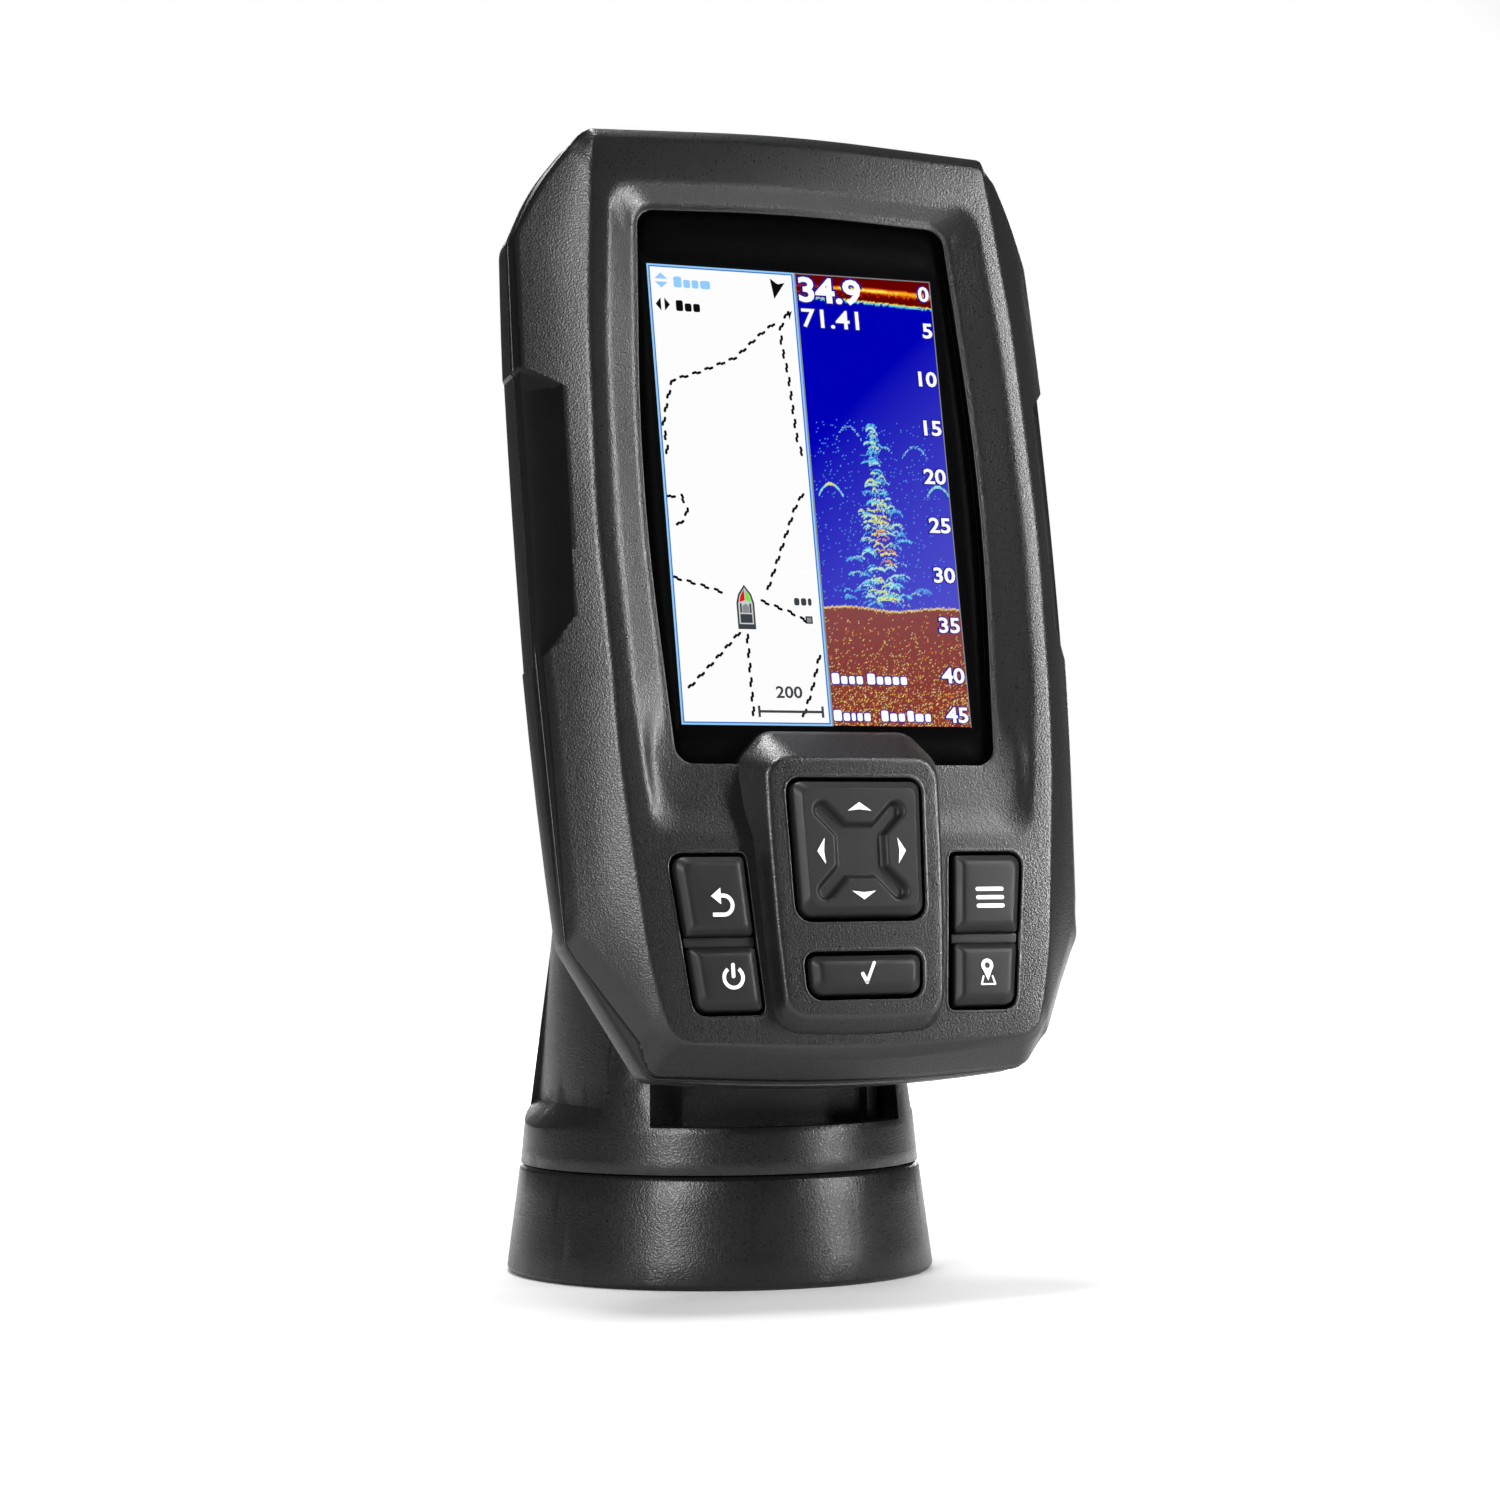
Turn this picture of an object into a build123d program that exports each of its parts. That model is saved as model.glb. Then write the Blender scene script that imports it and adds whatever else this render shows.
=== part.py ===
from build123d import *
import math
import os

# Fish finder: a portrait display head on a tilting quick-release cradle and a swivelling round mount.
# Millimetres, +Z up, origin on the swivel axis at the underside of the mount, the screen faces -Y.

os.makedirs("parts", exist_ok=True)

# ---- driving dimensions ---------------------------------------------------------------------
SCREEN_WIDTH = 49.3
SCREEN_HEIGHT = 74.0
LEAN_BACK = 10.5                      # degrees that the screen leans back at rest
SCREEN_CENTRE = (0, -38.5, 124.25)

WALL = 2.2
PARTING = -8.0                        # depth of the joint between front and rear shell
GASKET = 0.3
RIM_END = -12.0                       # depth where the rear shell starts to taper
BACK_FACE = -27.0
BACK_ACROSS, BACK_ALONG = 0.76, 0.70  # size of the flat back against the rim
BOSS_FACE = -33.0
BOSS_HALF, BOSS_LOW, BOSS_HIGH = 22.0, -55.0, -2.0
CEILING = -1.2                        # inner face of the front shell behind the screen and keys
FRAME_FACE = 4.5
KEY_SLOPE = 0.0534                    # the frame falls away below the screen
SLOPE_START = -30.0
BEVEL_EDGE = -4.0                     # depth where the side bevels meet the wall
POCKET_DEPTH = 1.6                    # finger pockets sunk into the side bevels
STEP_X = 45.0                         # the wall steps in to here beside each pocket

LENS_BACK, LENS_FACE = 0.6, 2.0
KEY_GAP = 0.6
KEY_PROUD = 1.7
NUB_R = 1.6
ROCKER_GAP = 0.7
ROCKER_PROUD = 1.8
ISLAND_V, ISLAND_FACE, ISLAND_SLOPE = -46.0, 7.2, 0.0676
SWITCH_TOP = -5.35
FLANGE_TOP, FLANGE_BOTTOM = -1.5, -2.4
GUIDE_TOP, GUIDE_BOTTOM = -3.6, -4.6
NUB_END = -4.3
BOARD_FRONT, BOARD_BACK = -5.9, -7.5

ROCKER_PIVOT = (-57.65, 1.8)          # height and depth of the direction pad's gimbal
ROCKER_PIN_R = 0.8
EAR_PLACE, EAR_THICK = 3.9, 1.4       # rocker ears and gimbal posts, from the pivot outwards
RUNNING = 0.05                        # radial clearance of every pin in its bore

PIVOT_Y, PIVOT_Z = 3.0, 88.0          # tilt axis
PIVOT_R = 3.0
CHEEK_TOP_R = 10.0
LUG_IN, LUG_OUT, LUG_R = 11.0, 15.0, 8.0
BOSS_IN = 16.0
TILT_SEAT = 20.45                     # where the tilt bolt's head and nut seat in the cheeks
TILT_HEX_R = 5.6
SWIVEL_HEX_R = 5.7
BUSHING_R = 4.5

SHELL_SCREWS = [(37.0, 37.0), (38.0, -42.0), (22.0, -86.0)]
BOARD_SCREWS = [(32.0, 45.0), (31.0, -78.0)]
SCREW_R = 1.25
SCREW_HEAD_R = 2.2
BOARD_SCREW_R = 1.2
SCREW_SEAT = -14.0                    # depth where the shell screws' heads rest
PILLAR_R = 2.3                        # pillars behind the front shell that take the board screws
CONNECTOR_V = 14.0
SOCKET_R = 7.6
VENT = (-24.0, 30.0)
VENT_R = 2.5

BASE_R, BASE_TOP_R, BASE_H = 35.2, 33.1, 17.65
TOWER_BOTTOM = 17.85
TOWER_FLOOR = 21.85
TOWER_TOP = 100.0                     # above the cheeks' rounded ends
SHOULDER_Z = 24.0
SHOULDER_R = 32.3
CONE_SLOPE = 0.118
FLANK_Z, FLANK_X, FLANK_SLOPE = 27.9, 28.1, 0.093
WALL_TOP = 50.0
CHEEK_IN = 21.9                       # half the space between the cheeks at the tower's floor
PLATE_R, PLATE_H = 31.5, 2.5
BUSHING_TOP, WASHER_TOP = 22.7, 23.7
SWIVEL_SEAT = 14.0                    # underside of the base's top, where the swivel bolt's head rests
BOLT_CIRCLE_R = 26.0
BOLT_HOLE_R = 2.3
STOP_IN, STOP_OUT = 11.0, 14.0
SWIVEL_LIMIT = 60.0

# ---- frames -----------------------------------------------------------------------------------
lean = math.radians(LEAN_BACK)
HEAD = Plane(
    origin=SCREEN_CENTRE,
    x_dir=(1, 0, 0),
    z_dir=(0, -math.cos(lean), math.sin(lean)),
)


def head_coords(y, z):
    """Height and depth in the head's frame of a point given in the mount's frame."""
    dy = y - SCREEN_CENTRE[1]
    dz = z - SCREEN_CENTRE[2]
    return dy * math.sin(lean) + dz * math.cos(lean), dz * math.sin(lean) - dy * math.cos(lean)


PIVOT_V, PIVOT_D = head_coords(PIVOT_Y, PIVOT_Z)


# ---- small helpers ------------------------------------------------------------------------------
def slab(face, low, high):
    """A flat outline made solid between two depths."""
    return Pos(0, 0, low) * extrude(face, high - low)


def polygon(*points):
    return make_face(Polyline(*points, close=True))


def block(x0, x1, y0, y1, z0, z1):
    box = Box(x1 - x0, y1 - y0, z1 - z0)
    return Pos((x0 + x1) / 2, (y0 + y1) / 2, (z0 + z1) / 2) * box


def rod(x, v, low, high, radius):
    return Pos(x, v, (low + high) / 2) * Cylinder(radius, high - low)


def rod_x(x0, x1, y, z, radius):
    return Pos((x0 + x1) / 2, y, z) * Rot(0, 90, 0) * Cylinder(radius, x1 - x0)


def rod_y(x, y0, y1, z, radius):
    return Pos(x, (y0 + y1) / 2, z) * Rot(90, 0, 0) * Cylinder(radius, y1 - y0)


def both_sides(shape):
    return [shape, mirror(shape, about=Plane.YZ)]


def fused(shapes):
    whole = shapes[0]
    for shape in shapes[1:]:
        whole = whole + shape
    return whole


def frame_depth(v):
    """Surface of the flat frame, which falls away beside the keys."""
    return FRAME_FACE - KEY_SLOPE * max(0.0, SLOPE_START - v)


def island_depth(v):
    """Surface of the raised pad that carries the rocker and the enter key."""
    return ISLAND_FACE + ISLAND_SLOPE * (v - ISLAND_V)


# ---- outlines of the head --------------------------------------------------------------------------
OUTLINE = {
    "top": (34.2, 57.6),
    "crown": 59.4,
    "shoulder": (44.6, 41.8),
    "waist": (45.75, 2.0),
    "hip": (43.2, -69.5),
    "foot": (31.5, -90.0),
    "keel": -91.8,
}
SCALE_CENTRE_V = -7.0


def head_outline(across=1.0, along=1.0):
    """The head's front view: arched top and bottom, cut corners, slightly bowed sides."""
    def place(x, v):
        return (x * across, SCALE_CENTRE_V + (v - SCALE_CENTRE_V) * along)

    def corner(name, side):
        x, v = OUTLINE[name]
        return place(side * x, v)

    edges = [
        ThreePointArc(corner("top", -1), place(0, OUTLINE["crown"]), corner("top", 1)),
        Line(corner("top", 1), corner("shoulder", 1)),
        ThreePointArc(corner("shoulder", 1), corner("waist", 1), corner("hip", 1)),
        Line(corner("hip", 1), corner("foot", 1)),
        ThreePointArc(corner("foot", 1), place(0, OUTLINE["keel"]), corner("foot", -1)),
        Line(corner("foot", -1), corner("hip", -1)),
        ThreePointArc(corner("hip", -1), corner("waist", -1), corner("shoulder", -1)),
        Line(corner("shoulder", -1), corner("top", -1)),
    ]
    face = make_face(edges)
    for name, radius in (("top", 3.0), ("shoulder", 5.0), ("hip", 4.0), ("foot", 3.0)):
        height = corner(name, 1)[1]
        width = corner(name, 1)[0]
        sharp = [
            p for p in face.vertices()
            if abs(p.Y - height) < 0.01 and abs(abs(p.X) - width) < 0.01
        ]
        face = fillet(sharp, radius * across)
    return face


def pocket_outline():
    """The finger pocket beside the screen, on the head's right side."""
    return polygon((46, 20.9), (40.75, 16), (41.3, -20.5), (46, -27.4), (60, -27.4), (60, 20.9))


def side_steps():
    """What the wall loses beside each pocket."""
    step = polygon((46, 20.9), (STEP_X, 20.0), (STEP_X, -26.2), (46, -27.4), (60, -27.4), (60, 20.9))
    return fused(both_sides(slab(step, RIM_END - 1.5, 10)))


def ridge_x(v):
    """Where the flat frame turns into the side bevel."""
    return 37.65 - 0.00092 * (v + 5) ** 2


def side_x(v):
    return 45.75 - 0.00068 * (v - 2) ** 2


def bevel_section(v, drop):
    """Cross-section under the two side bevels at height v."""
    face = frame_depth(v) - drop
    edge = BEVEL_EDGE - drop - max(0.0, -40 - v) * 0.03
    slope = (face - edge) / (side_x(v) - ridge_x(v))
    wide, rise = 52.0, 4.0
    shoulder = face - (wide - ridge_x(v)) * slope
    inner = ridge_x(v) - rise / slope
    outline = Polyline(
        (-wide, -20), (-wide, shoulder), (-inner, face + rise),
        (inner, face + rise), (wide, shoulder), (wide, -20), close=True,
    )
    return Plane(origin=(0, v, 0), x_dir=(1, 0, 0), z_dir=(0, -1, 0)) * make_face(outline)


def bevel_form(drop=0.0):
    return loft([bevel_section(v, drop) for v in (62, 40, 15, -10, -35, -60, -95)])


def frame_form():
    """Everything behind the flat frame and its sloping key area."""
    low = -96
    side = Plane.YZ * make_face(Polyline(
        (64, -20), (64, FRAME_FACE), (SLOPE_START, FRAME_FACE),
        (low, frame_depth(low)), (low, -20), close=True,
    ))
    return extrude(side, 60, both=True)


def lens_outline(grow=0.0):
    """The black glass: bowed sides, arched top and bottom."""
    top, bottom = (26.2 + grow, 44.8 + grow), (26.6 + grow, -43.4 - grow)
    waist = (29.15 + grow, -3)
    edges = [
        ThreePointArc((-top[0], top[1]), (0, 45.8 + grow), top),
        ThreePointArc(top, waist, bottom),
        Line(bottom, (-bottom[0], bottom[1])),
        ThreePointArc((-bottom[0], bottom[1]), (-waist[0], waist[1]), (-top[0], top[1])),
    ]
    return fillet(make_face(edges).vertices(), 2.5 + grow)


def recess_outline():
    """The sunk field around the glass, which runs down past the keys."""
    top, waist, bottom = (29.4, 48.6), (34.4, -8), (30.8, -54.4)
    edges = [
        ThreePointArc((-top[0], top[1]), (0, 49.7), top),
        ThreePointArc(top, waist, bottom),
        Line(bottom, (-bottom[0], bottom[1])),
        ThreePointArc((-bottom[0], bottom[1]), (-waist[0], waist[1]), (-top[0], top[1])),
    ]
    return fillet(make_face(edges).vertices(), 3.0)


def island_outline(grow=0.0):
    """The raised pad's front view."""
    face = polygon(
        (-12.5, -38.7), (12.5, -38.7), (16.6, -43.2), (15.6, -54.5), (14.7, -71), (13.6, -85),
        (-13.6, -85), (-14.7, -71), (-15.6, -54.5), (-16.6, -43.2),
    )
    return offset(face, grow) if grow else face


def tapered_outline(low, high, gap=0.0):
    """A symmetric trapezoid given by (half width, height) at its lower and upper edge."""
    x0, v0 = low[0] - gap, low[1] + gap
    x1, v1 = high[0] - gap, high[1] - gap
    return polygon((-x0, v0), (x0, v0), (x1, v1), (-x1, v1))


# ---- keys -----------------------------------------------------------------------------------------
ROCKER_HOLE = ((10.8, -68.6), (11.45, -46.7))
ENTER_HOLE = ((9.55, -80.4), (9.95, -73.2))
SIDE_HOLE = ((15.3, 26.9, -82.0), (17.2, 29.9, -57.5))
SIDE_SPLIT = (-71.8, -70.2)


def side_hole_edges(v):
    (in0, out0, v0), (in1, out1, v1) = SIDE_HOLE
    t = (v - v0) / (v1 - v0)
    return in0 + (in1 - in0) * t, out0 + (out1 - out0) * t


def side_outline(v0, v1, gap):
    """The stretch of the right-hand key opening between two heights."""
    in0, out0 = side_hole_edges(v0)
    in1, out1 = side_hole_edges(v1)
    return polygon(
        (in0 + gap, v0), (out0 - gap, v0), (out1 - gap, v1), (in1 + gap, v1)
    )


def under_slope(v0, v1, d0, d1):
    """A thick wedge that lies under the line from (v0, d0) to (v1, d1)."""
    face = Plane.YZ * make_face(Polyline((v0, -30), (v0, d0), (v1, d1), (v1, -30), close=True))
    return extrude(face, 60, both=True)


def key_ceiling(surface, proud):
    """All that lies less than proud above the sloping surface round a key."""
    low, high = -90.0, -40.0
    return under_slope(low, high, surface(low) + proud, surface(high) + proud)


def button(cap, flange, centre, surface):
    """A key cap with a flange that keeps it in the shell and a nub that reaches its switch."""
    ceiling = key_ceiling(surface, KEY_PROUD)
    key = slab(cap, FLANGE_TOP - 0.1, 12) & ceiling
    crest = key.faces().sort_by(Axis.Z)[-1]
    key = chamfer(crest.edges(), 0.6)
    key = key + slab(flange, FLANGE_BOTTOM, FLANGE_TOP)
    return key + rod(*centre, NUB_END, FLANGE_BOTTOM + 0.1, NUB_R)


def side_key(upper):
    hole_low, hole_high = SIDE_HOLE[0][2], SIDE_HOLE[1][2]
    low, high = (SIDE_SPLIT[1], hole_high - KEY_GAP) if upper else (hole_low + KEY_GAP, SIDE_SPLIT[0])
    cap = fillet(side_outline(low, high, KEY_GAP).vertices(), 1.0)
    flange = side_outline(low, high, -0.7)
    inner, outer = side_hole_edges((low + high) / 2)
    return button(cap, flange, ((inner + outer) / 2, (low + high) / 2), frame_depth)


FLANGE_HALF = 11.0


def enter_key():
    cap = fillet(tapered_outline(*ENTER_HOLE, KEY_GAP).vertices(), 1.0)
    (_, low), (_, high) = ENTER_HOLE
    flange = tapered_outline((FLANGE_HALF, low + KEY_GAP), (FLANGE_HALF, high - KEY_GAP))
    return button(cap, flange, (0, (low + high) / 2), island_depth)


NUBS = [(0.0, (ENTER_HOLE[0][1] + ENTER_HOLE[1][1]) / 2)]
for upper_row in (True, False):
    low_edge = SIDE_SPLIT[1] if upper_row else SIDE_HOLE[0][2] + KEY_GAP
    high_edge = SIDE_HOLE[1][2] - KEY_GAP if upper_row else SIDE_SPLIT[0]
    middle = (low_edge + high_edge) / 2
    across_middle = sum(side_hole_edges(middle)) / 2
    NUBS += [(across_middle, middle), (-across_middle, middle)]


def direction_pad():
    """Four-way rocker with a crossed groove; its ears ride on the gimbal's cross pins."""
    cap = fillet(tapered_outline(*ROCKER_HOLE, ROCKER_GAP).vertices(), 1.5)
    underside = 3.6
    pad = slab(cap, underside, 12) & key_ceiling(island_depth, ROCKER_PROUD)
    pad = chamfer(pad.faces().sort_by(Axis.Z)[-1].edges(), 0.7)
    pv, pd = ROCKER_PIVOT
    well_half, well_floor = 3.4, island_depth(pv) + 0.9
    pad = pad - block(-well_half, well_half, pv - well_half, pv + well_half, well_floor, 12)
    ear_half, ear_foot = 1.9, 0.4
    for side in (-1, 1):
        inner, outer = side * EAR_PLACE - EAR_THICK / 2, side * EAR_PLACE + EAR_THICK / 2
        pad = pad + block(inner, outer, pv - ear_half, pv + ear_half, ear_foot, underside + 0.2)
    return pad - rod_x(-6, 6, pv, pd, ROCKER_PIN_R + RUNNING)


def gimbal_cross():
    pv, pd = ROCKER_PIVOT
    hub, pin = 2.0, EAR_PLACE + EAR_THICK / 2
    cross = block(-hub, hub, pv - hub, pv + hub, pd - 1.2, pd + 1.2)
    cross = cross + rod_x(-pin, pin, pv, pd, ROCKER_PIN_R)
    return cross + rod_y(0, pv - pin, pv + pin, pd, ROCKER_PIN_R)


def mirrored_places(places):
    return [(side * x, v) for x, v in places for side in (-1, 1)]


def keypad_guide():
    """Plate behind the keys: guides their nubs and carries the rocker's gimbal."""
    plate = slab(polygon((-29.5, -82.5), (29.5, -82.5), (33.6, -75), (33.6, -45), (-33.6, -45), (-33.6, -75)),
                 GUIDE_BOTTOM, GUIDE_TOP)
    for x, v in NUBS:
        plate = plate - rod(x, v, -6, 0, NUB_R + 0.4)
    for x, v in mirrored_places(BOARD_SCREWS):
        plate = plate - rod(x, v, -6, 0, PILLAR_R + 0.4)
    pv, pd = ROCKER_PIVOT
    post_half = 1.9
    for side in (-1, 1):
        low, high = pv + side * EAR_PLACE - EAR_THICK / 2, pv + side * EAR_PLACE + EAR_THICK / 2
        plate = plate + block(-post_half, post_half, low, high, GUIDE_TOP - 0.2, pd + 1.0)
    return plate - rod_y(0, pv - 6, pv + 6, pd, ROCKER_PIN_R + RUNNING)


# ---- shells ---------------------------------------------------------------------------------------
def front_shell():
    body = slab(head_outline(), PARTING, 6) & bevel_form() & frame_form()
    pockets = fused(both_sides(slab(pocket_outline(), PARTING - 1, 10)))
    body = body - (pockets - bevel_form(POCKET_DEPTH)) - side_steps()
    cavity = slab(offset(head_outline(), -WALL, kind=Kind.INTERSECTION), -20, CEILING)
    cavity = (cavity & bevel_form(2.6)) - (pockets - bevel_form(POCKET_DEPTH + WALL))
    body = body - cavity
    sunk = loft([
        Pos(0, 0, LENS_FACE) * lens_outline(0.3),
        Pos(0, 0, FRAME_FACE + 0.4) * recess_outline(),
    ])
    body = body - sunk - slab(lens_outline(0.12), 0.4, 8)
    island = loft([
        Pos(0, 0, CEILING) * island_outline(),
        Pos(0, 0, 7.4) * island_outline(-1.0),
    ])
    island = island & under_slope(-90, -38, island_depth(-90), island_depth(-38))
    body = body + island
    body = body - slab(screen_window(), -5, 5)
    body = body - slab(tapered_outline(*ROCKER_HOLE), -5, 12)
    body = body - slab(tapered_outline(*ENTER_HOLE), -5, 12)
    low, high = SIDE_HOLE[0][2], SIDE_HOLE[1][2]
    for hole in both_sides(slab(fillet(side_outline(low, high, 0).vertices(), 1.5), -5, 12)):
        body = body - hole
    for x, v in mirrored_places(SHELL_SCREWS):
        body = body + rod(x, v, PARTING, CEILING + 0.5, 2.5)
        body = body - rod(x, v, PARTING - 1, -2.6, SCREW_R)
    for x, v in mirrored_places(BOARD_SCREWS):
        body = body + rod(x, v, BOARD_FRONT, CEILING + 0.5, PILLAR_R)
        body = body - rod(x, v, BOARD_FRONT - 1, -1.9, BOARD_SCREW_R)
    return body


def screen_window(grow=0.0):
    """The opening in the front shell that the screen looks through."""
    return Pos(0, -0.5) * Rectangle(52.0 + 2 * grow, 79.8 + 2 * grow)


def rear_form(top, back, across=1.0, along=1.0):
    """A straight rim from top down to RIM_END, then a taper to the back."""
    rim = head_outline(across, along)
    taper = loft([
        Pos(0, 0, RIM_END) * rim,
        Pos(0, 0, back) * head_outline(BACK_ACROSS * across, BACK_ALONG * along),
    ], ruled=True)
    return slab(rim, RIM_END, top) + taper


def rear_shell():
    start = PARTING - GASKET
    outer = rear_form(start, BACK_FACE)
    half_width, half_height = OUTLINE["waist"][0], (OUTLINE["crown"] - OUTLINE["keel"]) / 2
    inner = rear_form(start + 1, BACK_FACE + WALL, 1 - WALL / half_width, 1 - WALL / half_height)
    boss = block(-BOSS_HALF, BOSS_HALF, BOSS_LOW, BOSS_HIGH, BOSS_FACE, BACK_FACE + 1)
    shell = outer - inner - side_steps() + boss
    for x, v in mirrored_places(SHELL_SCREWS):
        shell = shell + (rod(x, v, -30, start, 3.8) & outer)
        shell = shell - rod(x, v, -40, SCREW_SEAT, SCREW_HEAD_R + 0.4) - rod(x, v, -20, 0, SCREW_R + 0.15)
    shell = shell - rod(0, CONNECTOR_V, -40, -20, SOCKET_R)
    return shell - rod(*VENT, -40, -20, VENT_R)


def gasket():
    outer = offset(head_outline(), -0.9, kind=Kind.INTERSECTION)
    band = outer - offset(head_outline(), -1.7, kind=Kind.INTERSECTION)
    return slab(band, PARTING - GASKET, PARTING)


def screws(places, head_low, head_high, tip, radius):
    """Pan-head screws with a driver socket, one at each place and its mirror image."""
    made = []
    for x, v in mirrored_places(places):
        head = rod(x, v, head_low, head_high, SCREW_HEAD_R) - rod(x, v, head_low - 1, head_low + 0.8, 0.9)
        made.append(head + rod(x, v, head_high - 0.1, tip, radius))
    return Compound(made)


# ---- inside the head --------------------------------------------------------------------------------
def display_window():
    glass = slab(lens_outline(), LENS_BACK, LENS_FACE)
    return glass - slab(island_outline(0.15), 0, 5)


def window_seal():
    ring = slab(lens_outline(-0.35), 0.4, LENS_BACK) - slab(screen_window(0.05), 0, 5)
    return ring - slab(island_outline(0.15), 0, 5)


def lcd_panel():
    """Glass sandwich with the live area standing a hair proud on its front."""
    half_width, half_height = SCREEN_WIDTH / 2, SCREEN_HEIGHT / 2
    glass = block(-25.7, 25.7, -40.1, 39.1, -2.0, -0.05)
    return glass + block(-half_width, half_width, -half_height, half_height, -0.1, 0)


def lcd_bracket():
    """Pressed tray behind the screen, with a lip round the backlight."""
    tray = block(-28.4, 28.4, -42.8, 42.2, -5.6, -2.2)
    return tray - block(-27.4, 27.4, -41.8, 41.2, -4.8, 0)


def display_flex():
    """Ribbon from the panel's lower edge round the tray to the board."""
    return block(-9, 9, -43.4, -43.2, BOARD_FRONT, -1.6) + block(-9, 9, -43.3, -40.9, -1.7, -1.5)


def main_board():
    board = slab(polygon((-29, -82), (29, -82), (34.2, -74), (34.2, 44), (31, 48.5),
                         (-31, 48.5), (-35, 44), (-35, -74)), BOARD_BACK, BOARD_FRONT)
    for x, v in mirrored_places(BOARD_SCREWS):
        board = board - rod(x, v, -10, 0, BOARD_SCREW_R + 0.2)
    return board


def connector_body():
    """Round four-pole socket: flange inside the rear shell, open barrel behind it."""
    flange_back = -24.3
    flange = rod(0, CONNECTOR_V, flange_back, -22.8, 9.6)
    barrel = rod(0, CONNECTOR_V, -37, flange_back + 0.3, SOCKET_R - 0.2)
    body = flange + barrel - rod(0, CONNECTOR_V, -40, -26.5, 6.0)
    for x, v in contact_places():
        body = body - rod(x, v, -30, -20, CONTACT_R + 0.05)
    return body


CONTACT_R = 0.6
CONTACT_CIRCLE_R = 2.6


def on_circle(radius, centre_v=0.0):
    """Four places at the corners of a square on a circle."""
    return [
        (radius * math.cos(math.radians(a)), centre_v + radius * math.sin(math.radians(a)))
        for a in (45, 135, 225, 315)
    ]


def contact_places():
    return on_circle(CONTACT_CIRCLE_R, CONNECTOR_V)


def ring(x, v, low, high, outer, inner):
    return rod(x, v, low, high, outer) - rod(x, v, low - 1, high + 1, inner)


# ---- cradle and latch ---------------------------------------------------------------------------------
LATCH_V, LATCH_D = -11.0, -41.0
LATCH_PIN_R = 1.25
LATCH_HALF = 7.6
PLATE_FRONT, PLATE_BACK = BOSS_FACE - 0.05, -36.6


def cradle():
    """Plate hooked on the head's back, with two lugs on the tilt axis and two on the latch pin."""
    body = block(-18, 18, -52, -6, PLATE_BACK, PLATE_FRONT)
    for side in (-1, 1):
        x0, x1 = sorted((side * LUG_IN, side * LUG_OUT))
        lug = block(x0, x1, PIVOT_V - 14, PIVOT_V + 12, PLATE_BACK - 4, PLATE_BACK + 0.5)
        web = extrude(Plane.YZ.offset(x0) * make_face(Polyline(
            (PIVOT_V - 14, PLATE_BACK), (PIVOT_V + 12, PLATE_BACK),
            (PIVOT_V + LUG_R, PIVOT_D), (PIVOT_V - LUG_R, PIVOT_D), close=True)), x1 - x0)
        body = body + lug + web + rod_x(x0, x1, PIVOT_V, PIVOT_D, LUG_R)
        e0, e1 = sorted((side * 8.0, side * 10.4))
        ear = block(e0, e1, LATCH_V - 2.5, LATCH_V + 2.5, LATCH_D, PLATE_BACK + 0.5)
        body = body + ear + rod_x(e0, e1, LATCH_V, LATCH_D, 2.5)
    body = body - rod_x(-20, 20, PIVOT_V, PIVOT_D, BUSHING_R)
    return body - rod_x(-20, 20, LATCH_V, LATCH_D, LATCH_PIN_R)


def tilt_bushings():
    made = []
    for side in (-1, 1):
        x0, x1 = sorted((side * LUG_IN, side * LUG_OUT))
        sleeve = rod_x(x0, x1, PIVOT_V, PIVOT_D, BUSHING_R)
        made.append(sleeve - rod_x(x0 - 1, x1 + 1, PIVOT_V, PIVOT_D, PIVOT_R + RUNNING))
    return Compound(made)


def release_latch():
    """Lever on a cross pin; its hook holds the top of the head's rear boss."""
    hub = rod_x(-LATCH_HALF, LATCH_HALF, LATCH_V, LATCH_D, 2.4)
    lever_front = LATCH_D + 1.1
    lever = block(-LATCH_HALF, LATCH_HALF, LATCH_V, 6.0, LATCH_D - 1.4, lever_front)
    hook = block(-LATCH_HALF, LATCH_HALF, -1.6, 1.0, lever_front - 0.6, -29.5)
    thumb = block(-LATCH_HALF, LATCH_HALF, 4.0, 7.5, LATCH_D - 3.2, lever_front)
    body = hub + lever + hook + thumb
    spring_slot = block(-3.2, 3.2, LATCH_V - 3, LATCH_V + 3.6, LATCH_D - 4, LATCH_D + 4)
    return body - spring_slot - rod_x(-9, 9, LATCH_V, LATCH_D, LATCH_PIN_R + RUNNING)


def latch_spring():
    """Six turns round the latch pin."""
    turns, pitch, coil_r, wire_r = 6, 1.0, 2.1, 0.4
    coil = Pos(0, LATCH_V, LATCH_D) * Rot(0, 90, 0) * Torus(coil_r, wire_r)
    return Compound([Pos((i - (turns - 1) / 2) * pitch, 0, 0) * coil for i in range(turns)])


# ---- mount ---------------------------------------------------------------------------------------------
def revolve_profile(*points):
    return revolve(Plane.XZ * make_face(Polyline(*points, close=True)), Axis.Z)


def arc_block(inner, outer, half_angle, low, high):
    """Part of a ring, centred on the +Y direction."""
    tube = Pos(0, 0, (low + high) / 2) * (Cylinder(outer, high - low) - Cylinder(inner, high - low + 1))
    reach = outer * 3
    spread = reach * math.tan(math.radians(min(half_angle, 85)))
    wedge = slab(polygon((0, 0), (spread, reach), (-spread, reach)), low - 1, high + 1)
    return tube & wedge


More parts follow.
